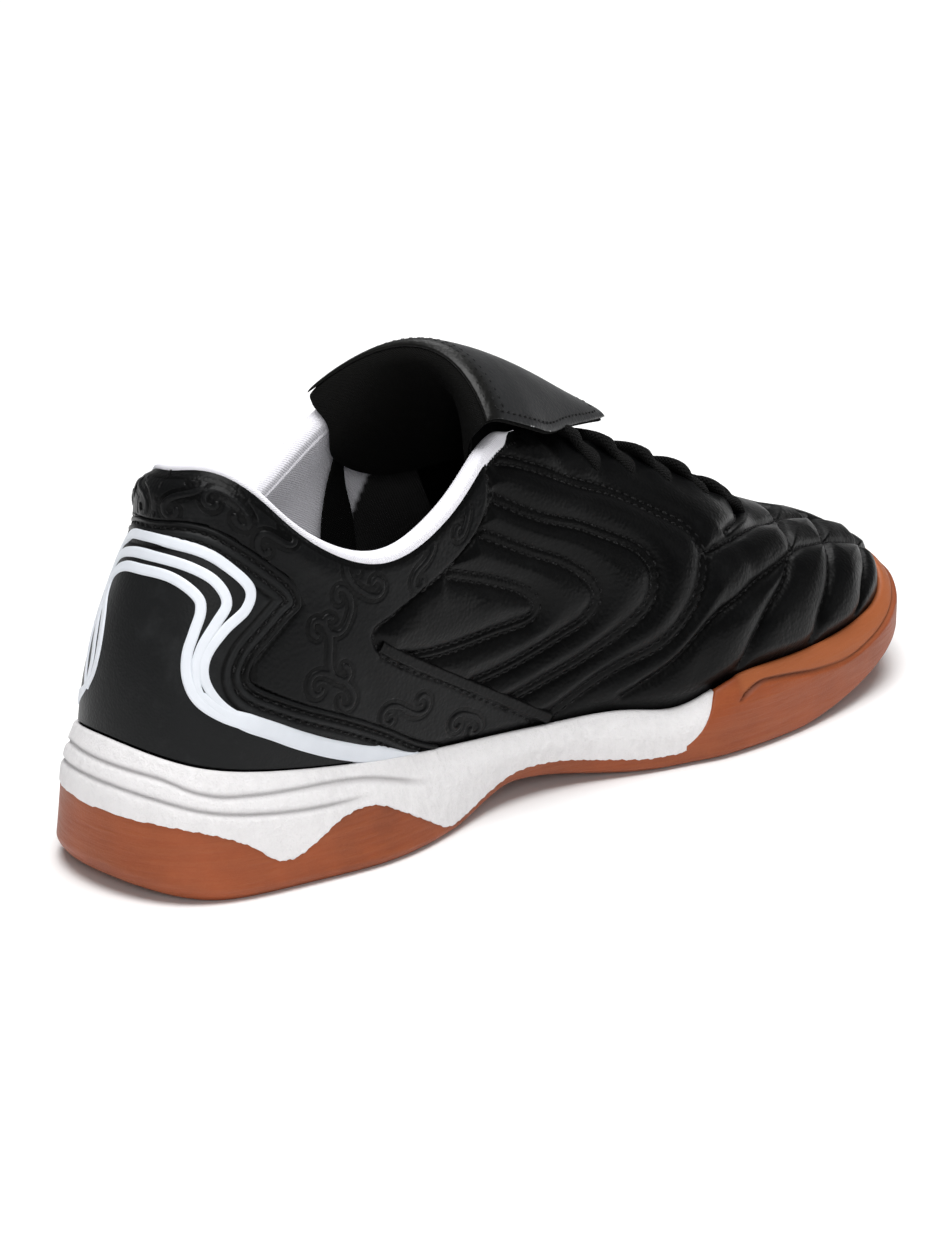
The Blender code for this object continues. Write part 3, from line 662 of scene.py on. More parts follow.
COUNTER = {                        # the heel counter's edge: share of height and the section it reaches
    "foot": (0.014, 3.44), "skirt": (0.07, 3.16), "flank": (0.15, 2.86), "brow": (0.225, 2.48),
    "dip": (0.285, 2.00), "notch": (0.33, 1.62), "waist": (0.40, 1.61), "belly": (0.50, 1.76),
    "neck": (0.60, 1.91), "ear": (0.70, 2.05), "shoulder": (0.785, 1.90), "crown": (0.80, 1.15),
    "top": (0.812, 0.40),
}
SHELL_LEVELS = np.append([-1.0, -0.35], np.linspace(0, 1, 134))    # shares of height outside
SHELL_ROLL = ((0.3, 0.5), (1.1, 0.7), (1.9, 0.4))    # inward and up, round the opening's edge
SHELL_INSIDE = (1.0, 0.93, 0.8, 0.6, 0.4, 0.2, 0.05, 0.0, -1.0)    # shares of height inside
EYELET_FRONT_X = 217.0
EYELET_PITCH = 15.4
LACE_GATHER = 1.3                  # the leather swells between the eyelets, where the lace draws it in
LEATHER_BLACK = (0.0016, 0.0017, 0.0018, 1.0)
LEATHER_WORN = (0.0055, 0.0057, 0.006, 1.0)
LEATHER_GLOSS = (0.31, 0.43)
# Painted shade: stitched channels, the counter's edge and pressed grooves turn nearly black where shadow
# gathers, partly also for the darker pressed leather.
SEAM_BLACK = (0.0004, 0.0004, 0.0004, 1.0)


def from_heel(t):
    """Sections between the back of the heel and t, round either side."""
    return np.abs((t + ROUND / 2) % ROUND - ROUND / 2)


def counter_reach(v):
    """Section that the heel counter reaches at shares v of the height, and -1 over its top."""
    return np.interp(v, *np.array(list(COUNTER.values())).T, right=-1.0)


def upper_wall(t, v):
    """Outside of the upper at sections t and shares v of its height: one cubic curve from the rim to
    the opening's edge for each section. Below the rim, where v is negative, it is upright."""
    plan, out, rim = outline(t)
    row = closed_spline(LOOP, t)
    foot = plan - out * FEATHER_INSET
    foot[:, 2] = rim
    edge, out_at_edge = row[:, 3:6], plan_normal(t, [3, 4])
    rise, lean, drop, slope = row[:, 6:7], np.radians(row[:, 7:8]), row[:, 8:9], np.radians(row[:, 9:10])
    up = np.array([0.0, 0.0, 1.0])
    lower = foot + rise * (out * np.sin(lean) + up * np.cos(lean))
    higher = edge + drop * (out_at_edge * np.sin(slope) - up * np.cos(slope))
    side = from_heel(t)
    lift = bell(side, 1.5, 0.4) * (t > 0) * (t < ROUND / 2) + 0.8 * bell(side, 3.65, 0.5)
    f = np.clip(v, 0, 1)[:, None]
    curve = (1 - f) ** 3 * foot + 3 * f * (1 - f) ** 2 * lower + 3 * f * f * (1 - f) * higher + f ** 3 * edge
    return curve + up * (np.minimum(v, 0) * HEM_DEPTH + lift * np.clip(v, 0, 1) ** 6)[:, None]


def upper_normal(t, v):
    """Outward direction of the upper, from two short steps on its surface."""
    v = np.clip(v, 0, 1)
    ahead = upper_wall(t + 0.004, v) - upper_wall(t - 0.004, v)
    upward = upper_wall(t, np.minimum(v + 0.004, 1)) - upper_wall(t, np.maximum(v - 0.004, 0))
    return unit(np.cross(ahead, upward))


def open_spline(rows, at):
    """Smooth open curve through rows, with slopes from the rows on both sides."""
    rows = np.asarray(rows, float)
    slope = np.gradient(rows, axis=0)
    i = np.clip(np.floor(at).astype(int), 0, len(rows) - 2)
    return cubic(rows[i], rows[i + 1], slope[i], slope[i + 1], (at - i)[:, None])


def even_line(knots, apart, mirrored=False):
    """Sections and shares along a line of knots on the upper, a set distance apart; mirrored on the
    inner side."""
    fine = open_spline(knots, np.linspace(0, len(knots) - 1, 60 * len(knots)))
    t, v = (ROUND - fine[:, 0] if mirrored else fine[:, 0]), fine[:, 1]
    steps = np.linalg.norm(np.diff(upper_wall(t, v), axis=0), axis=1)
    length = np.concatenate([[0], np.cumsum(steps)])
    at = np.linspace(0, length[-1], max(int(length[-1] / apart), 2) + 1)
    return np.interp(at, length, t), np.interp(at, length, v)


def nearest(points, lines, reach=16.0):
    """Distance from each point to the closest of some lines of points, up to a reach."""
    best = np.full(len(points), reach)
    for line in lines:
        near = np.flatnonzero(np.all((points > line.min(0) - reach) & (points < line.max(0) + reach), 1))
        here, there = points[near] - line.mean(0), line - line.mean(0)
        square = (here ** 2).sum(1)[:, None] + (there ** 2).sum(1) - 2 * here @ there.T
        best[near] = np.minimum(best[near], np.sqrt(np.maximum(square.min(1), 0)))
    return best


def seam_lines(seams):
    """Points along seams on both sides of the upper, close together."""
    return [upper_wall(*even_line(knots, 0.4, mirrored))
            for knots in seams.values() for mirrored in (False, True)]


DOUBLE_LINES = seam_lines(QUILT_SEAMS)
SINGLE_LINES = seam_lines(TOE_SEAMS)
EDGE_LINES = seam_lines(EDGE_SEAMS)


def upper_relief(t, v):
    """Height of the leather over the plain form: foam puffs up away from the seams and is drawn down to
    nothing on them, a double seam keeps a thin ridge between its rows, and creases are soft bells. Under
    the heel counter it lies flat."""
    points = upper_wall(t, v)
    double, single = nearest(points, DOUBLE_LINES), nearest(points, SINGLE_LINES)
    edge = nearest(points, EDGE_LINES)
    side = from_heel(t)
    front = smooth_step(side - smooth_curve(PANEL_EDGE, v), -0.03, 0.05)
    quilted = front * smooth_step(v / (0.1 + 0.1 * smooth_step(side, 7.5, 9.0)), 0.0, 1.0)
    quilted *= 1 - 0.85 * smooth_step(v, 0.88, 0.98)
    away = np.minimum(np.minimum(np.maximum(double - ROW_APART, 0), single), edge)
    height = PUFF * quilted * (1 - np.exp(-(away / 3.2) ** 1.25))
    height += PANEL_RISE * (1 - front) * smooth_step(v, 0.0, 0.06)
    height += ROW_RIDGE * bell(double, 0, 0.7) - ROW_DEPTH * bell(double, ROW_APART, 0.55)
    height -= EDGE_DEPTH * bell(edge, 0, 0.7) + SINGLE_DEPTH * bell(single, 0, 0.95)
    height += HEEL_BAND * bell(v, 0.90, 0.075) * (1 - smooth_step(side, 1.4, 3.0))
    past_eyelet = (closed_spline(LOOP, t)[:, 3] - EYELET_FRONT_X) / EYELET_PITCH
    laced = smooth_step(v, 0.78, 0.95) * smooth_step(side, 5.0, 5.6) * (1 - smooth_step(side, 8.2, 8.8))
    height += LACE_GATHER * laced * (0.5 - 0.5 * np.cos(2 * np.pi * past_eyelet))
    for start, end, depth, width in CREASES:
        for mirrored in (False, True):
            line = upper_wall(*even_line((start, end), 1.0, mirrored))
            height -= depth * bell(nearest(points, [line]), 0, width)
    height *= 1 - 0.9 * smooth_step(v, 0.955, 1.0) * (side < 5.4)
    covered = smooth_step(counter_reach(v) - side, 0.01, 0.05)
    return height * (1 - covered) - 0.2 * covered


def seam_mark(points):
    """1 along each row of stitches on the upper and 0 a millimetre or two beside it; it paints shade in the
    stitched channels.
    """
    double = np.abs(nearest(points, DOUBLE_LINES, 4.0) - ROW_APART)
    single = np.minimum(nearest(points, SINGLE_LINES, 4.0), nearest(points, EDGE_LINES, 4.0))
    return bell(np.minimum(double, np.maximum(single - 0.5, 0)), 0, 0.8)


def leather_grain():
    """Group for tanned leather: rounded pebbles from cell distances, fine pores, slow stretch wrinkles
    and a mask of rubbed places."""
    tree, given, put = new_group("leather_grain", {"Pebbles": 900.0, "Wrinkle": 0.5},
                                 ("Height", "Rub", "Tone"))
    swirl = add_node(tree, "TexNoise", Vector=given["Place"], Scale=220.0, Detail=2.0)
    bent = add_node(tree, "VectorMath", {"operation": "MULTIPLY_ADD"}, _0=swirl.outputs["Color"],
                    _1=(0.0012, 0.0012, 0.0012), _2=given["Place"])
    cells = add_node(tree, "TexVoronoi", {"feature": "SMOOTH_F1"}, Vector=bent.outputs[0],
                     Scale=given["Pebbles"], Smoothness=0.6)
    pores = add_node(tree, "TexNoise", Vector=given["Place"], Scale=3200.0, Detail=2.0)
    folds = add_node(tree, "TexNoise", Vector=given["Place"], Scale=95.0, Detail=5.0, Roughness=0.55)
    rub = add_node(tree, "TexNoise", Vector=given["Place"], Scale=55.0, Detail=6.0, Roughness=0.7)
    domes = math(tree, "SUBTRACT", 1.0, cells.outputs["Distance"])
    pebbled = math(tree, "MULTIPLY_ADD", pores.outputs["Fac"], 0.25, domes)
    height = math(tree, "MULTIPLY_ADD", folds.outputs["Fac"], given["Wrinkle"], pebbled)
    tree.links.new(height, put["Height"])
    tree.links.new(spread(tree, rub.outputs["Fac"], 0.52, 0.72), put["Rub"])
    tree.links.new(folds.outputs["Fac"], put["Tone"])
    return tree


LEATHER_GRAIN = leather_grain()


def leather(name, dark, worn, gloss, pebbles=900.0, depth=0.00010, wrinkle=0.3, shine=0.10):
    """Leather: a dark tone that turns greyer where it is rubbed, with gloss between two roughnesses."""
    made, tree, shader = new_material(name)
    grain = use_group(tree, LEATHER_GRAIN, Pebbles=pebbles, Wrinkle=wrinkle)
    shade = blend_colour(tree, math(tree, "MULTIPLY", grain["Rub"], 0.6), dark, worn)
    tree.links.new(shade, shader.inputs["Base Color"])
    tree.links.new(spread(tree, grain["Tone"], 0.3, 0.7, *gloss), shader.inputs["Roughness"])
    shader.inputs["Specular IOR Level"].default_value = shine
    raise_bump(tree, shader, grain["Height"], depth)
    return made


def two_tone(made, mark, colour):
    """Material that changes to another colour where its mesh is marked."""
    tree = made.node_tree
    shader = tree.nodes["Principled BSDF"]
    first = shader.inputs["Base Color"].links[0].from_socket
    tree.links.new(blend_colour(tree, mark_value(tree, mark), first, colour), shader.inputs["Base Color"])
    return made


def upper_shell(t):
    """Closed shell: hem, outside with its relief, rolled edge of the opening, and inside back to the hem."""
    flat_t, flat_v = np.tile(t, len(SHELL_LEVELS)), np.repeat(SHELL_LEVELS, len(t))
    relief = np.where(flat_v >= 0, upper_relief(flat_t, flat_v), 0.0)
    outside = upper_wall(flat_t, flat_v) + upper_normal(flat_t, flat_v) * relief[:, None]
    outside = outside.reshape(len(SHELL_LEVELS), len(t), 3)
    top, out = upper_wall(t, np.ones(len(t))), upper_normal(t, np.ones(len(t)))
    rolled = [top - out * inward + np.array([0, 0, up]) for inward, up in SHELL_ROLL]
    inside = [upper_wall(t, np.full(len(t), v)) - upper_normal(t, np.full(len(t), v)) * UPPER_WALL
              for v in SHELL_INSIDE]
    return np.concatenate([outside, np.array(rolled), np.array(inside), outside[:1]])


shell_grid = upper_shell(around)
black_leather = leather("black_leather", LEATHER_BLACK, LEATHER_WORN, LEATHER_GLOSS)
# Painted shade in the upper's stitched channels.
add_piece("upper_leather", [(shell_grid, False)], two_tone(black_leather, "seam", SEAM_BLACK),
          "black_leather", ["upper"], seam=seam_mark(shell_grid.reshape(-1, 3)))

# Collar lining: white knit cloth over soft foam, rolled over the collar's edge and glued down inside,
# from one side of the throat round the heel to the other.
LINING_END = 5.32                  # section where the roll goes under the tongue
LINING_ROLL = ((0.975, -0.4, 0.0), (0.980, 0.25, 0.0), (0.990, 0.55, 0.1), (1.0, 0.35, 0.6),
               (1.0, -0.7, 1.5), (1.0, -2.4, 1.8), (1.0, -4.0, 1.2), (1.0, -5.0, 0.0), (0.96, -5.4, 0.0),
               (0.88, -4.9, 0.0), (0.75, -3.8, 0.0), (0.5, -3.0, 0.0), (0.2, -2.8, 0.0), (0.0, -2.6, 0.0))
ROLL_FULL = (1.5, 3.2)             # sections between which the roll grows to its full height
ROLL_TUCKED = (5.0, 5.25)          # and where it goes in under the flap
LINING_FRONT = ((20.0, 82.0), (60.0, 107.0), (75.0, 116.0), (90.0, 125.0))    # height and x of its front
LINING_COLUMNS = 421
LINING_WHITE = (0.94, 0.93, 0.97, 1.0)
LINING_SHADE = (0.86, 0.85, 0.91, 1.0)
# The lining is coloured black inside the shoe, forward of a line that leans forward as it rises.
VAMP_BLACK = (0.004, 0.004, 0.004, 1.0)


def lining_roll(t):
    """Roll and lining: a smooth curve through (share of height, distance outside, lift) at each section."""
    rows = np.concatenate([np.linspace(0, 8, 36), np.linspace(8.1, len(LINING_ROLL) - 1, 56)])
    profile = open_spline(LINING_ROLL, rows)
    flat_t = np.tile(t, len(profile))
    v, offset, lift = np.repeat(profile, len(t), 0).T
    full = smooth_step(np.abs(flat_t), *ROLL_FULL)
    tucked = 1 - smooth_step(np.abs(flat_t), *ROLL_TUCKED)
    v = np.where(v > 0.965, 1 - (1 - v) * (0.8 + 0.8 * full) * tucked, v)
    lift = lift * (0.65 + 0.45 * full) * tucked
    points = upper_wall(flat_t, v) + upper_normal(flat_t, v) * offset[:, None]
    points[:, 2] += lift
    front = smooth_step(points[:, 0] - smooth_curve(LINING_FRONT, points[:, 2]), -0.9, 0.9)
    black = front * np.repeat(smooth_step(rows, 7.0, 7.5), len(t))
    return points.reshape(len(profile), len(t), 3), black


def surface_uv(grid):
    """Lengths along both directions of a grid, in millimetres, for patterns that follow the surface."""
    down = np.cumsum(np.linalg.norm(np.diff(grid, axis=0, prepend=grid[:1]), axis=2), axis=0)
    along = np.cumsum(np.linalg.norm(np.diff(grid, axis=1, prepend=grid[:, :1]), axis=2), axis=1)
    return np.stack([along.mean(0)[None] + 0 * down, down.mean(1)[:, None] + 0 * down], 2).reshape(-1, 2)


lining_grid, black_mark = lining_roll(np.linspace(-LINING_END, LINING_END, LINING_COLUMNS))
lining_cloth = cloth("lining_cloth", LINING_SHADE, LINING_WHITE, 0.7, 0.00008, 0.2, 0.1)
lining = add_piece("collar_lining", [(lining_grid, False)], two_tone(lining_cloth, "vamp", VAMP_BLACK),
                   "black_leather", uv=surface_uv(lining_grid), vamp=black_mark)

# Heel counter: a moulded cup of smooth black leather, sewn round the heel by two rows of stitches with
# a pressed line inside them. Three white rubber lines are moulded on it and run together low down.
COUNTER_PROUD = 1.1
COUNTER_ROWS = (2.2, 4.7)          # rows of stitches, in from the edge
PRESSED_LINE = 7.4
TRIM_LINES = {                     # from the outer side over the heel to the inner side
    "outer": ((1.78, 0.172), (1.36, 0.225), (1.12, 0.295), (1.09, 0.375), (1.25, 0.48), (1.46, 0.585),
              (1.46, 0.665), (1.12, 0.70), (0.51, 0.725), (-0.05, 0.745), (-0.55, 0.725), (-0.85, 0.62),
              (-0.86, 0.48), (-0.78, 0.35), (-0.62, 0.195), (-0.56, 0.145)),
    "middle": ((1.36, 0.205), (1.08, 0.25), (0.99, 0.33), (1.02, 0.40), (1.15, 0.495), (1.24, 0.575),
               (1.10, 0.625), (0.78, 0.65), (0.19, 0.675), (-0.25, 0.675), (-0.62, 0.64), (-0.78, 0.56),
               (-0.70, 0.45), (-0.55, 0.34), (-0.46, 0.24), (-0.50, 0.15)),
    "inner": ((1.75, 0.155), (1.36, 0.185), (1.05, 0.228), (0.90, 0.29), (0.86, 0.365), (0.90, 0.44),
              (0.94, 0.52), (0.85, 0.565), (0.47, 0.61), (0.05, 0.622), (-0.30, 0.615), (-0.58, 0.57),
              (-0.60, 0.50), (-0.44, 0.41), (-0.35, 0.31), (-0.36, 0.21), (-0.48, 0.14)),
}
TRIM_BANDS = (((1.10, 0.25), (1.36, 0.205), (1.61, 0.18), (1.85, 0.155), (2.11, 0.115), (2.46, 0.065),
               (2.85, 0.025), (3.2, 0.005)),
              ((-0.50, 0.16), (-0.62, 0.125), (-0.95, 0.09), (-1.5, 0.06), (-2.2, 0.03), (-2.8, 0.005)))
TRIM_WIDTH = 3.1
BAND_WIDTH = 5.2
CUP_ROWS, CUP_COLUMNS = 126, 261
ROW_GROOVE, PRESSED_GROOVE = 0.6, 0.5
TRIM_WHITE = (0.75, 0.78, 0.83, 1.0)
TRIM_GREY = (0.66, 0.69, 0.74, 1.0)
COUNTER_BLACK = (0.0115, 0.012, 0.0125, 1.0)
COUNTER_WORN = (0.026, 0.027, 0.028, 1.0)

counter_side = tuple((reach, share) for share, reach in COUNTER.values())
COUNTER_EDGE = counter_side + ((0.0, 0.812),) + tuple((-reach, share) for reach, share in counter_side[::-1])
counter_line = [upper_wall(*even_line(COUNTER_EDGE, 0.4))]


def counter_height(points):
    """Height of the counter over the plain form, by distance from its edge: it rises from under the
    leather in a short round, dips at both rows of stitches and at the pressed line."""
    edge = nearest(points, counter_line)
    height = COUNTER_PROUD * smooth_step(edge, -0.6, 1.2) - 0.3 * (1 - smooth_step(edge, 0, 0.5))
    for row in COUNTER_ROWS:
        height -= ROW_GROOVE * bell(edge, row, 0.65)
    height += 0.45 * bell(edge, 0.9, 0.8) + 0.25 * bell(edge, 3.4, 0.8)
    return height - PRESSED_GROOVE * bell(edge, PRESSED_LINE, 0.6)


def counter_seams(points):
    """1 along the counter's edge, its rows of stitches and its pressed line, and 0 beside them; it paints
    shade in these grooves.
    """
    edge = nearest(points, counter_line)
    return np.max([bell(edge, row, 0.55) for row in (0.0, *COUNTER_ROWS, PRESSED_LINE)], axis=0)


def counter_cup():
    """Front and back of the cup, on rows up the heel and columns from side to side, with one border."""
    shares, reaches = np.array(list(COUNTER.values())).T
    v, reach = open_spline(np.stack([shares, reaches], 1), np.linspace(0, len(shares) - 1, CUP_ROWS)).T
    across = np.linspace(-1, 1, CUP_COLUMNS)
    t = (reach[:, None] * across).ravel()
    v = np.repeat(v, len(across))
    points, out = upper_wall(t, v), upper_normal(t, v)
    front = (points + out * counter_height(points)[:, None]).reshape(CUP_ROWS, CUP_COLUMNS, 3)
    back = (points - 0.3 * out).reshape(CUP_ROWS, CUP_COLUMNS, 3)
    back[[0, -1]], back[:, [0, -1]] = front[[0, -1]], front[:, [0, -1]]
    return front, back


def ribbon(knots, width, lift, starts, ends, high=0.42):
    """Thin domed strip along a line on the upper, its edges sunk in. It swells from a share of its width
    at its start and narrows to another share at its end."""
    t, v = even_line(knots, 0.8)
    out = upper_normal(t, v)
    middle = upper_wall(t, v) + out * lift
    side = unit(np.cross(out, np.gradient(middle, axis=0)))
    across = np.linspace(-1, 1, 11)
    way = np.linspace(0, 1, len(t))
    first = starts + (1 - starts) * smooth_step(way, 0, 0.22)
    last = ends + (1 - ends) * smooth_step(1 - way, 0, 0.22)
    side *= (width / 2 * first * last)[:, None]
    dome = high * (1 - np.abs(across) ** 5) - 0.3 * (np.abs(across) > 0.99)
    return middle[:, None] + side[:, None] * across[None, :, None] + out[:, None] * dome[None, :, None]


def white_rubber():
    """White moulded rubber: cool white, with a satin surface and a little rubbed grey."""
    made, tree, shader = new_material("trim_rubber")
    marks = use_group(tree, BRUSH_MARKS, Strokes=300.0, Length=300.0)
    tone = blend_colour(tree, spread(tree, marks["Cloud"], 0.35, 0.65), TRIM_GREY, TRIM_WHITE)
    tree.links.new(tone, shader.inputs["Base Color"])
    tree.links.new(spread(tree, marks["Cloud"], 0.2, 0.8, 0.35, 0.55), shader.inputs["Roughness"])
    raise_bump(tree, shader, marks["Height"], 0.00008)
    return made


front_cup, back_cup = counter_cup()
counter_leather = leather("counter_leather", COUNTER_BLACK, COUNTER_WORN, (0.34, 0.44), 1300.0, 0.00006)
# Painted shade along the counter's edge, its rows of stitches and its pressed line.
add_piece("heel_counter_cup", [(front_cup, False), (back_cup, True)],
          two_tone(counter_leather, "seam", SEAM_BLACK), "counter_leather", ["heel_counter"],
          seam=counter_seams(np.concatenate([front_cup, back_cup]).reshape(-1, 3)))
trim_grids = []
for order, knots in enumerate(TRIM_LINES.values()):
    trim_grids.append((ribbon(knots, TRIM_WIDTH, COUNTER_PROUD - 0.05 + 0.04 * order, 0.55, 0.55), True))
for knots in TRIM_BANDS:
    trim_grids.append((ribbon(knots, BAND_WIDTH, COUNTER_PROUD + 0.02, 0.35, 0.2), True))
add_piece("counter_trim", trim_grids, white_rubber(), "counter_leather")

# Embossing: the rear panel and the collar are pressed with a hot die in a pattern of scrolls, each a
# raised stroke between two grooves. The pattern here is a plain run of scrolls.
SCROLLS = (                        # section, share of height, half length, direction, C (1) or S (-1)
    (3.66, 0.095, 13.0, 158.0, 1), (3.05, 0.215, 16.0, 150.0, -1), (2.36, 0.345, 17.0, 160.0, 1),
    (2.33, 0.52, 16.0, 85.0, -1), (2.44, 0.72, 15.0, 65.0, 1), (1.72, 0.895, 14.0, 5.0, -1),
    (1.08, 0.90, 13.0, 170.0, 1), (0.45, 0.90, 12.0, 15.0, -1), (2.72, 0.895, 14.0, -25.0, 1),
    (3.42, 0.905, 12.0, 15.0, -1), (4.02, 0.925, 9.0, 40.0, 1),
)
STROKE_HALF = 1.25
GROOVE_DEEP = 0.95
RIM_WIDTH, RIM_HIGH = 3.6, 0.85    # rolled rim along the panel's lower front edge
PATCH_STEP = 0.45
SECTION_WIDTH, UPPER_HEIGHT = 36, 75    # about, for distances on the panel
PANEL_BLACK = (0.0045, 0.0047, 0.005, 1.0)
PANEL_WORN = (0.012, 0.0123, 0.0128, 1.0)


def scroll(t, v, size, turn, kind):
    """Line that winds up to a spiral at both ends: short steps whose direction turns with the square of
    the way from the middle; kind 1 turns it the same way at both ends, -1 opposite ways."""
    way = np.linspace(-1, 1, 200)
    heading = np.radians(turn) + 4.7 * way ** 2 * np.where(way < 0, -kind, 1)
    steps = np.stack([np.cos(heading), np.sin(heading)], 1) * size / 100
    line = np.cumsum(steps, axis=0)
    line -= line.mean(0)
    near = upper_wall(t + np.array([-0.01, 0.01, 0.0, 0.0]), v + np.array([0.0, 0.0, -0.01, 0.01]))
    wide, high = np.linalg.norm(near[1::2] - near[::2], axis=1) / 0.02
    return t + line[:, 0] / wide, v + line[:, 1] / high


def emboss_patch(inner):
    """Fine sheet on the rear panel, a hair over the leather, that dives under it at the panel's edges;
    places outside the panel are left out. Inner mirrors it."""
    t, v = np.meshgrid(np.linspace(0.0, 4.62, int(170 / PATCH_STEP)),
                       np.linspace(0.02, 0.975, int(76 / PATCH_STEP)))
    faces = grid_faces(*t.shape, inner)
    t, v = t.ravel(), v.ravel()
    inside = np.minimum(smooth_curve(PANEL_EDGE, v) - t, t - counter_reach(v)) * SECTION_WIDTH
    inside = np.minimum(inside, (0.968 - v) * UPPER_HEIGHT)
    kept = inside > -0.8
    faces = (np.cumsum(kept) - 1)[faces[np.all(kept[faces], 1)]]
    v, inside = v[kept], inside[kept]
    t = ROUND - t[kept] if inner else t[kept]
    points = upper_wall(t, v)
    lines = [upper_wall(ROUND - a if inner else a, b) for a, b in (scroll(*row) for row in SCROLLS)]
    away = nearest(points, lines, 4.0)
    stroke = 0.3 * (1 - smooth_step(away, STROKE_HALF - 0.5, STROKE_HALF))
    groove = bell(away, STROKE_HALF, 0.42)
    stroke = stroke - GROOVE_DEEP * groove
    height = upper_relief(t, v) + (0.12 + stroke) * smooth_step(inside, 1.0, 2.6)
    height = height - 0.5 * (1 - smooth_step(inside, 0.2, 1.2))
    # The last value marks painted shade in the pressed grooves.
    return points + upper_normal(t, v) * height[:, None], faces, 0.8 * groove * smooth_step(inside, 1.0, 2.6)


panel_leather = leather("panel_leather", PANEL_BLACK, PANEL_WORN, LEATHER_GLOSS)
outer_patch, inner_patch = (emboss_patch(inner) for inner in (False, True))
# Painted shade in the embossed grooves.
add_mesh("embossed_panel", np.concatenate([outer_patch[0], inner_patch[0]]),
         np.concatenate([outer_patch[1], inner_patch[1] + len(outer_patch[0])]),
         two_tone(panel_leather, "seam", SEAM_BLACK), "black_leather",
         seam=np.concatenate([outer_patch[2], inner_patch[2]]))
rim_knots = [STRAP_RIM, tuple((-t, v) for t, v in STRAP_RIM)]
rim_grids = [(ribbon(knots, RIM_WIDTH, PANEL_RISE - 0.1, 1.0, 1.0, RIM_HIGH), True) for knots in rim_knots]
add_piece("panel_rim", rim_grids, leather("rim_leather", LEATHER_BLACK, LEATHER_WORN, LEATHER_GLOSS),
          "black_leather")

# Seams: black thread in a lockstitch, about three stitches to the centimetre. Double rows hold the
# quilting and the counter, single rows cross the toe, and short ticks hold the lining's edge.
STITCH_LONG = 2.3
STITCH_PITCH = 2.9
STITCH_THICK = 0.36
STITCH_RINGS, STITCH_SIDES = 6, 7
THREAD_BLACK = (0.0012, 0.0012, 0.0013, 1.0)
# Painted highlight: the lighter strands stand partly for glints of light on the thread.
THREAD_GREY = (0.035, 0.035, 0.036, 1.0)
HEEL_TAB = ((0.0, 0.975), (0.03, 0.90), (0.0, 0.83))
TICKS = 210
TICK_LOW, TICK_MIDDLE, TICK_HIGH = 0.950, 0.965, 0.978


def stitches(middles, along, out, long=STITCH_LONG, thick=STITCH_THICK):
    """Points of many stitches: each a short thread, six-sided, round at both ends and arched so that its
    ends dive into the leather."""
    along = unit(along)
    side = unit(np.cross(out, along))
    place = np.array([-0.5, -0.42, -0.15, 0.15, 0.42, 0.5])
    girth = np.array([0.0, 0.75, 1.0, 1.0, 0.75, 0.0])
    dive = np.array([-1.3, -0.6, 0.15, 0.15, -0.6, -1.3])
    turn = np.linspace(0, 2 * np.pi, STITCH_SIDES)
    ring = girth[:, None, None] * np.stack([np.cos(turn), np.sin(turn)], 1)
    points = (middles[:, None, None] + along[:, None, None] * (place * long)[None, :, None, None]
              + side[:, None, None] * (ring[..., 0] * thick * 1.25)[None, ..., None]
              + out[:, None, None] * ((ring[..., 1] + dive[:, None]) * thick)[None, ..., None])
    return points.reshape(-1, 3)


def add_stitches(name, rows, surface, slot):
    """One object of all stitches in some rows."""
    points = np.concatenate(rows)
    block = grid_faces(STITCH_RINGS, STITCH_SIDES)
    firsts = np.arange(0, len(points), STITCH_RINGS * STITCH_SIDES)
    faces = (block[None] + firsts[:, None, None]).reshape(-1, 4)
    return add_mesh(name, points, faces, surface, slot)


def shifted(t, v, distance):
    """Line moved sideways on the upper by a distance: the step along the two directions of the surface
    that gives the side vector, solved by least squares."""
    step = 0.004
    over_t = (upper_wall(t + step, v) - upper_wall(t - step, v)) / (2 * step)
    over_v = (upper_wall(t, v + step) - upper_wall(t, v - step)) / (2 * step)
    side = distance * unit(np.cross(upper_normal(t, v), np.gradient(upper_wall(t, v), axis=0)))
    tt, tv, vv = (over_t * over_t).sum(1), (over_t * over_v).sum(1), (over_v * over_v).sum(1)
    st, sv = (side * over_t).sum(1), (side * over_v).sum(1)
    whole = tt * vv - tv ** 2
    return t + (st * vv - sv * tv) / whole, v + (sv * tt - st * tv) / whole


def stitch_row(t, v, height):
    """Stitches along a line of even points on the upper, at a height over its plain form."""
    base, out = upper_wall(t, v), upper_normal(t, v)
    return stitches(base + out * (height + 0.12)[:, None], np.gradient(base, axis=0), out)


def thread(name, dark, light):
    """Twisted thread: fine slanting strands in two tones; the lighter strands are partly painted glints."""
    made, tree, shader = new_material(name)
    place = add_node(tree, "TexCoord").outputs["Object"]
    strands = add_node(tree, "TexNoise", Vector=place, Scale=2600.0, Detail=2.0)
    tone = blend_colour(tree, spread(tree, strands.outputs["Fac"], 0.5, 0.75), dark, light)
    tree.links.new(tone, shader.inputs["Base Color"])
    tree.links.new(spread(tree, strands.outputs["Fac"], 0.3, 0.7, 0.45, 0.65), shader.inputs["Roughness"])
    shader.inputs["Specular IOR Level"].default_value = 0.12
    raise_bump(tree, shader, strands.outputs["Fac"], 0.0001)
    return made


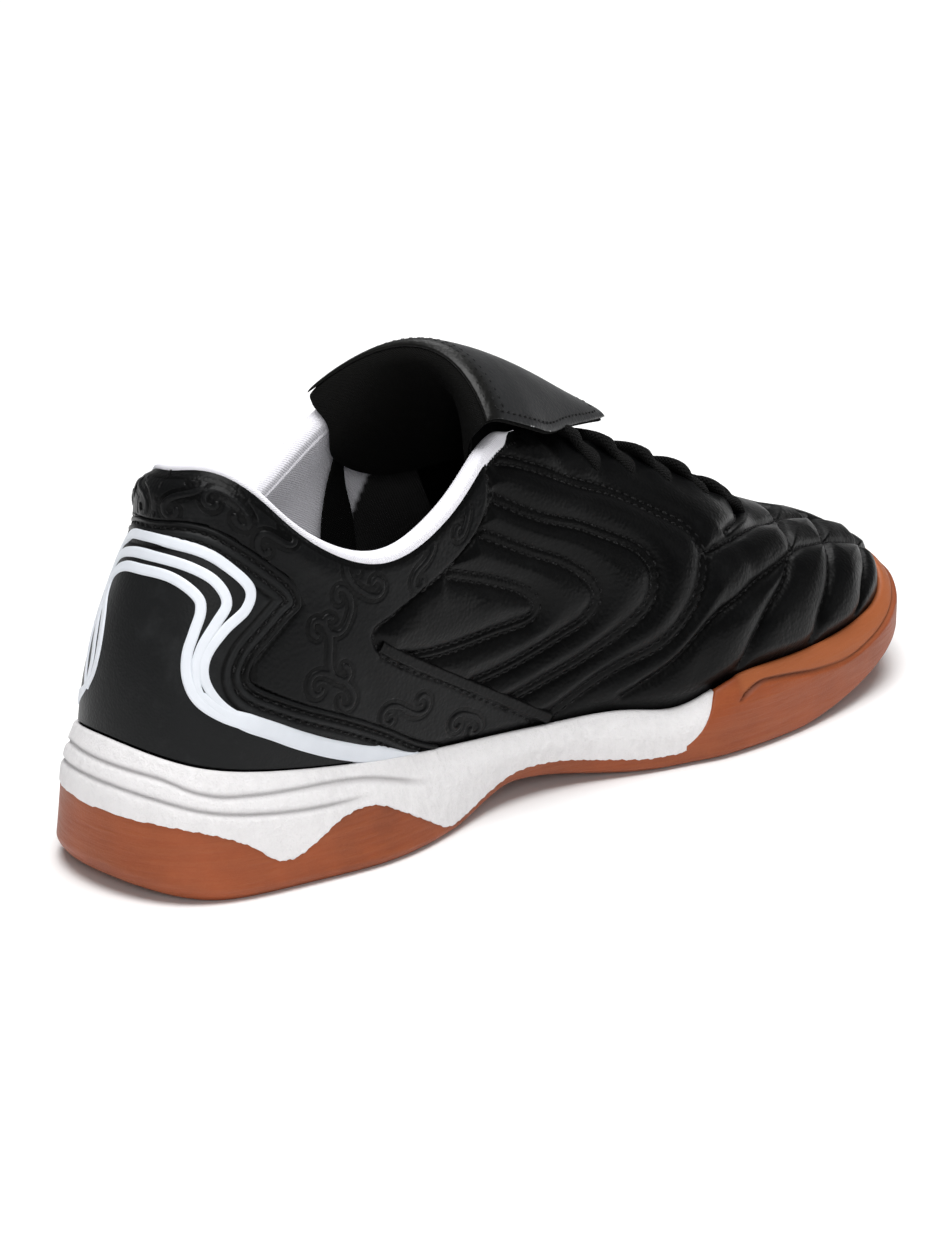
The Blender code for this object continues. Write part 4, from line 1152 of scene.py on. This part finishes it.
black_thread = thread("black_thread", THREAD_BLACK, THREAD_GREY)
seam_rows = []
for mirrored in (False, True):
    for knots in QUILT_SEAMS.values():
        for distance in (-ROW_APART, ROW_APART):
            row = shifted(*even_line(knots, STITCH_PITCH, mirrored), distance)
            seam_rows.append(stitch_row(*row, upper_relief(*row)))
    for knots in (*TOE_SEAMS.values(), *EDGE_SEAMS.values()):
        row = even_line(knots, STITCH_PITCH, mirrored)
        seam_rows.append(stitch_row(*row, upper_relief(*row)))
row = even_line(HEEL_TAB, STITCH_PITCH)
seam_rows.append(stitch_row(*row, upper_relief(*row)))
add_stitches("upper_stitches", seam_rows, black_thread, "black_leather")

counter_rows = []
for distance in COUNTER_ROWS:
    row = shifted(*even_line(COUNTER_EDGE, STITCH_PITCH), distance)
    counter_rows.append(stitch_row(*row, counter_height(upper_wall(*row))))
add_stitches("counter_stitches", counter_rows, black_thread, "counter_leather")

tick_t = np.linspace(-LINING_END + 0.1, LINING_END - 0.1, TICKS)
tick_low, tick_high = (upper_wall(tick_t, np.full(TICKS, level)) for level in (TICK_LOW, TICK_HIGH))
tick_out = upper_normal(tick_t, np.full(TICKS, TICK_MIDDLE))
ticks = stitches((tick_low + tick_high) / 2 + tick_out * 0.25, tick_high - tick_low, tick_out, 1.5, 0.2)
add_stitches("collar_ticks", [ticks], black_thread, "black_leather")

# Tongue: thin foam with black cloth towards the foot and leather towards the laces. Its top is folded
# forward as a broad flap with a cut edge, sewn all round; an elastic strap ties it down inside.
TONGUE = {                         # x, z, half width, drop of the edges, their sweep, skew and tilt
    "throat": (219.0, 50.2, 6.5, 1.0, 0.0, 0.0, 0.0),
    "lowest_lace": (205.0, 60.8, 11.5, 3.5, 0.0, 0.0, 0.0),
    "lower_laces": (187.0, 72.5, 14.5, 6.0, 0.0, 0.0, 0.0),
    "middle_laces": (168.0, 82.0, 16.5, 8.0, 1.0, 0.0, 0.0),
    "upper_laces": (150.0, 91.0, 18.5, 12.0, 4.0, 1.0, 0.0),
    "top_lace": (133.0, 99.5, 19.0, 19.0, 12.0, 4.0, 0.0),
    "collar": (121.5, 108.5, 19.5, 20.0, 15.5, 6.5, 0.0),
    "ears": (114.5, 115.7, 20.5, 16.8, 10.0, 6.5, -0.8),
    "fold_back": (111.5, 119.3, 26.0, 14.7, 8.0, 6.0, -1.6),
    "fold_top": (114.5, 121.7, 28.0, 15.2, 7.5, 6.0, -1.5),
    "flap_back": (127.0, 117.4, 26.5, 14.2, 4.0, 3.0, 0.5),
    "flap_middle": (139.5, 111.5, 22.5, 12.2, 3.0, 1.0, 1.6),
    "flap_corner": (151.0, 105.0, 16.3, 8.2, 1.0, 0.0, 1.8),
    "flap_round": (163.0, 97.4, 10.8, 4.2, 0.5, 0.0, 1.2),
    "flap_tip": (174.0, 90.6, 5.5, 1.0, 0.0, 0.0, 0.6),
}
LAST_ROW = len(TONGUE) - 1.0
TONGUE_BACK, TONGUE_FRONT = 1.3, 0.7    # faces of the padded body, from its middle
FLAP_FACE = (0.9, 2.0)             # leather on the flap, from the middle of the tongue
LACE_FACE = (0.3, 1.0)             # leather under the laces
SLAB_ROWS, SLAB_COLUMNS = 161, 61
FLAP_START, FLAP_END = 8.55, LAST_ROW + 0.12    # rows of the table where the flap's leather begins and ends
FLAP_ROW_INSET = 1.7
STRAP = ((101, 18.5, 95, 2.5), (101.3, 20, 88, 3.2), (101.8, 21.5, 80, 6),    # points and widths
         (102.6, 22, 71, 9.6), (103.3, 22, 62, 11), (104.5, 21.5, 48, 11.5))
STRAP_ROWS = 60
FLAP_STITCH_PITCH = 2.6
# Painted sheen: the flap's leather is lighter than the upper's, partly for its own greyer finish and partly
# for the light its top catches.
FLAP_BLACK = (0.018, 0.0186, 0.0195, 1.0)
FLAP_WORN = (0.034, 0.035, 0.0365, 1.0)
FUZZ_BLACK = (0.0008, 0.0008, 0.0007, 1.0)
FUZZ_GREY = (0.0032, 0.0032, 0.0028, 1.0)
FIBRE_WHITE = (0.75, 0.76, 0.78, 1.0)


def tongue_place(rows, across):
    """Middle of the tongue at rows of its table and shares across it: its edges drop and sweep back by
    the square of the share."""
    table = open_spline(list(TONGUE.values()), rows.ravel()).T
    x, z, half, drop, sweep, skew, tilt = (column.reshape(rows.shape) for column in table)
    return np.stack([x - sweep * across ** 2 - skew * across, half * across,
                     z - drop * across ** 2 + tilt * across], -1)


def tongue_sheet(rows, across):
    """Grid on the middle of the tongue, and its normals, which point to the laces and to the flap's
    underside."""
    sheet = tongue_place(rows[:, None], across)
    return sheet, unit(np.cross(np.gradient(sheet, axis=1), np.gradient(sheet, axis=0)))


def slab_rows(first, last):
    """Rows of a slab, closer together at both of its ends."""
    share = np.linspace(0, 1, SLAB_ROWS)
    return first + (last - first) * (share - np.sin(2 * np.pi * share) / (2.4 * np.pi))


def tongue_slab(first, last, front, back, wide=1.0):
    """Closed slab between two distances from the middle of the tongue, from a first row to a last one,
    with rounded edges and ends. The mark grows to 1 at its cut edges."""
    across = np.sin(np.linspace(-np.pi / 2, np.pi / 2, SLAB_COLUMNS))
    rows = slab_rows(first, last)
    sheet, normal = tongue_sheet(rows, across * wide)
    ends = np.minimum(rows - first, last - rows) / 0.07
    full = np.sqrt(np.clip(1 - across ** 10, 0, 1))[None] * np.sqrt(np.clip(ends, 0, 1))[:, None]
    middle, half = (front + back) / 2, (front - back) / 2
    faces = [sheet + normal * (middle + sign * half * full)[..., None] for sign in (1, -1)]
    edge = 1 - full
    return np.concatenate([faces[0], faces[1][:, -2::-1]], 1), np.concatenate([edge, edge[:, -2::-1]], 1)


def cut_leather(name, dark, worn, gloss):
    """Leather whose cut edge shows pale fibres here and there."""
    made = leather(name, dark, worn, gloss, 1000.0, 0.0001, 0.3, 0.25)
    tree = made.node_tree
    shader = tree.nodes["Principled BSDF"]
    shade = shader.inputs["Base Color"].links[0].from_socket
    place = add_node(tree, "TexCoord").outputs["Object"]
    tufts = add_node(tree, "TexNoise", Vector=place, Scale=650.0, Detail=3.0)
    fibre = math(tree, "MULTIPLY", spread(tree, tufts.outputs["Fac"], 0.60, 0.70),
                 spread(tree, mark_value(tree, "cut"), 0.72, 0.95))
    tree.links.new(blend_colour(tree, fibre, shade, FIBRE_WHITE), shader.inputs["Base Color"])
    return made


body_grid, _ = tongue_slab(0.0, LAST_ROW, TONGUE_FRONT, -TONGUE_BACK)
tongue_cloth = cloth("tongue_cloth", FUZZ_BLACK, FUZZ_GREY, 0.45, 0.0001, 2.5)
tongue = add_piece("tongue_body", [(body_grid, False)], tongue_cloth, "tongue_leather", ["tongue"],
                   uv=surface_uv(body_grid))
face_grid, face_edge = tongue_slab(0.0, 7.0, LACE_FACE[1], LACE_FACE[0], 0.985)
flap_grid, flap_edge = tongue_slab(FLAP_START, FLAP_END, -FLAP_FACE[0], -FLAP_FACE[1], 0.995)
# Painted sheen in the flap's lighter leather.
flap_leather = two_tone(cut_leather("flap_leather", FLAP_BLACK, FLAP_WORN, (0.36, 0.46)), "fold", FUZZ_GREY)
past_fold = smooth_step(slab_rows(FLAP_START, FLAP_END) - FLAP_START, 0.35, 0.8)
fold_mark = np.repeat(1 - past_fold, 2 * SLAB_COLUMNS - 1)
add_piece("tongue_face", [(face_grid, False)], flap_leather, "tongue_leather", cut=0 * face_edge,
          fold=0 * face_edge)
add_piece("tongue_flap", [(flap_grid, False)], flap_leather, "tongue_leather", cut=flap_edge,
          fold=fold_mark)


def flap_seam():
    """Row of stitches on the flap, inside its edge: along both sides, round the tip and across the fold."""
    rows = np.concatenate([np.linspace(FLAP_START + 0.5, 13.2, 60), np.linspace(13.3, 13.62, 12)])
    half = open_spline(list(TONGUE.values()), rows)[:, 2]
    side = 1 - FLAP_ROW_INSET / half
    rows = np.concatenate([rows, np.full(13, 13.68), rows[::-1]])
    across = np.concatenate([side, np.linspace(side[-1], -side[-1], 15)[1:-1], -side[::-1]])
    closed = np.linspace(-side[0], side[0], 60)
    rows = np.concatenate([rows, np.full(60, rows[0]), np.full(60, FLAP_START + 0.72)])
    return rows, np.concatenate([across, closed, closed[::-1]])


def flap_points(rows, across):
    """Top of the flap at single places, and the way out of it, square to its two directions."""
    step = 0.02
    ahead = tongue_place(rows + step, across) - tongue_place(rows - step, across)
    sideways = tongue_place(rows, across + step) - tongue_place(rows, across - step)
    out = unit(np.cross(ahead, sideways))
    return tongue_place(rows, across) + out * (FLAP_FACE[1] - 0.15), out


seam_points, seam_out = flap_points(*flap_seam())
seam_length = np.concatenate([[0], np.cumsum(np.linalg.norm(np.diff(seam_points, axis=0), axis=1))])
seam_at = np.arange(1.0, seam_length[-1], FLAP_STITCH_PITCH)
seam_middle, seam_up = (np.stack([np.interp(seam_at, seam_length, axis) for axis in rows.T], 1)
                        for rows in (seam_points, seam_out))
flap_row = stitches(seam_middle, np.gradient(seam_middle, axis=0), seam_up, 2.0, 0.3)
add_stitches("flap_stitches", [flap_row], black_thread, "tongue_leather")


def flat_band(points, facing, width, thick, round_power=4):
    """Flat band along a path: an oval section, wide across the facing direction."""
    along = np.gradient(points, axis=0)
    side = unit(np.cross(facing, along))
    up = unit(np.cross(along, side))
    turn = np.linspace(0, 2 * np.pi, 21)
    wide = np.sign(np.cos(turn)) * np.abs(np.cos(turn)) ** (2 / round_power) * np.reshape(width, (-1, 1)) / 2
    high = np.sign(np.sin(turn)) * np.abs(np.sin(turn)) ** (2 / round_power) * thick / 2
    return points[:, None] + side[:, None] * wide[..., None] + up[:, None] * high[None, :, None]


strap_path = open_spline(STRAP, np.linspace(0, len(STRAP) - 1, STRAP_ROWS))
strap_facing = np.tile([-0.2, -1.0, 0.1], (STRAP_ROWS, 1))
strap_grid = flat_band(strap_path[:, :3], strap_facing, strap_path[:, 3], 1.0)
strap_elastic = cloth("strap_elastic", FUZZ_BLACK, FUZZ_GREY, 0.7, 0.0002, 0.5)
add_piece("tongue_strap", [(strap_grid, False)], strap_elastic, "tongue_leather", uv=surface_uv(strap_grid))

# Lace: one flat woven cotton lace, through six pairs of punched holes: a bar across the first pair, then
# crossings up to the last, where its ends go under the flap.
EYELET_PAIRS = 6
EYELET_LEVEL = 0.89
EYELET_RADIUS = 2.3
LACE_WIDTH = 8.2
LACE_WALL = {-1: 3.4, 1: 1.8}      # plump on the outer side, drawn flat on the inner one
LACE_TIP = np.array([0.45, 0.0, 0.0])   # the lace leans forward with the instep where it crosses
LACE_SLANT = 0.42                  # share of the way forward or back that a lace makes on the leather
LACE_SUNK = -1.6                   # its ends lie in the holes
STRAND_ROWS = 57
LACE_BLACK = (0.0022, 0.0022, 0.0022, 1.0)
LACE_GREY = (0.010, 0.010, 0.010, 1.0)


def throat_place(x, side, share):
    """Place on the upper beside the throat, at a length and a share of height, and the way out of it; side
    is -1 on the outer side."""
    throat = np.linspace(5, 9.5, 200)
    t = np.interp(x, closed_spline(LOOP, throat)[:, 3], throat)
    t, share = np.array([t if side < 0 else ROUND - t]), np.array([share])
    return upper_wall(t, share)[0], upper_normal(t, share)[0]


def eyelet(pair, side):
    """Middle of a punched hole and the way out of it."""
    return throat_place(EYELET_FRONT_X - EYELET_PITCH * pair, side, EYELET_LEVEL)


def lace_strand(start, end, lift, under=True):
    """Flat strand out of one hole: up the leather, over the edge of the throat and across the tongue; it
    goes into the other hole from below, under the edge, or else over it from above."""
    first, last = EYELET_FRONT_X - EYELET_PITCH * np.array([start[0], end[0]])
    slant = (last - first) * LACE_SLANT
    wall = LACE_WALL[start[1]]
    rest = wall / 2 + lift
    down = -(UPPER_WALL + wall / 2 + 0.4)
    stops = [(first, start[1], EYELET_LEVEL, LACE_SUNK),
             (first + slant * 0.15, start[1], EYELET_LEVEL + 0.012, rest * 0.8),
             (first + slant * 0.6, start[1], 0.955, rest), (first + slant, start[1], 1.0, rest + 0.4)]
    if under:
        stops += [(last - slant, end[1], 1.0, down - 0.5), (last, end[1], EYELET_LEVEL, down)]
    else:
        stops += [(last, end[1], 1.0, rest + 0.4), (last, end[1], 0.955, rest),
                  (last, end[1], EYELET_LEVEL, LACE_SUNK)]
    knots = []
    for x, side, share, high in stops:
        place, out = throat_place(x, side, share)
        knots.append([*(place + out * high), *(out + LACE_TIP * (share > 0.95))])
    rows = open_spline(knots, np.linspace(0, len(knots) - 1, STRAND_ROWS))
    width = LACE_WIDTH * (0.45 + 0.55 * smooth_step(np.linspace(0, 1, STRAND_ROWS), 0.0, 0.16))
    return flat_band(rows[:, :3], rows[:, 3:], width, wall, 2.0)


strands = [lace_strand((0, -1), (0, 1), 0.2, False)]
for pair in range(EYELET_PAIRS - 1):
    strands += [lace_strand((pair, side), (pair + 1, -side), lift) for side, lift in ((-1, 0.5), (1, -0.1))]
lace_cotton = cloth("lace_cotton", LACE_BLACK, LACE_GREY, 0.9, 0.0004, 0.6)
add_piece("lace_strands", [(strand, False) for strand in strands], lace_cotton, "lace_cotton", ["laces"],
          uv=np.concatenate([surface_uv(strand) for strand in strands]))


def punched_hole(pair, side):
    """Small cup pressed into the leather: a rounded lip, a wall and a floor that closes to a point."""
    middle, out = eyelet(pair, side)
    across = unit(np.cross(out, (1.0, 0.0, 0.0)))
    turn = np.linspace(0, 2 * np.pi, 25)
    ring = np.cos(turn)[:, None] * across + np.sin(turn)[:, None] * np.cross(out, across)
    profile = ((1.5, -0.1), (1.3, 0.28), (1.1, 0.36), (0.95, 0.15), (0.88, -1.0), (0.0, -1.0))
    return np.array([middle + ring * radius * EYELET_RADIUS + out * high for radius, high in profile])


holes = [punched_hole(pair, side) for pair in range(EYELET_PAIRS) for side in (-1, 1)]
eyelet_leather = leather("eyelet_leather", COUNTER_BLACK, COUNTER_WORN, (0.4, 0.5))
add_piece("punched_eyelets", [(hole, False) for hole in holes], eyelet_leather, "black_leather")
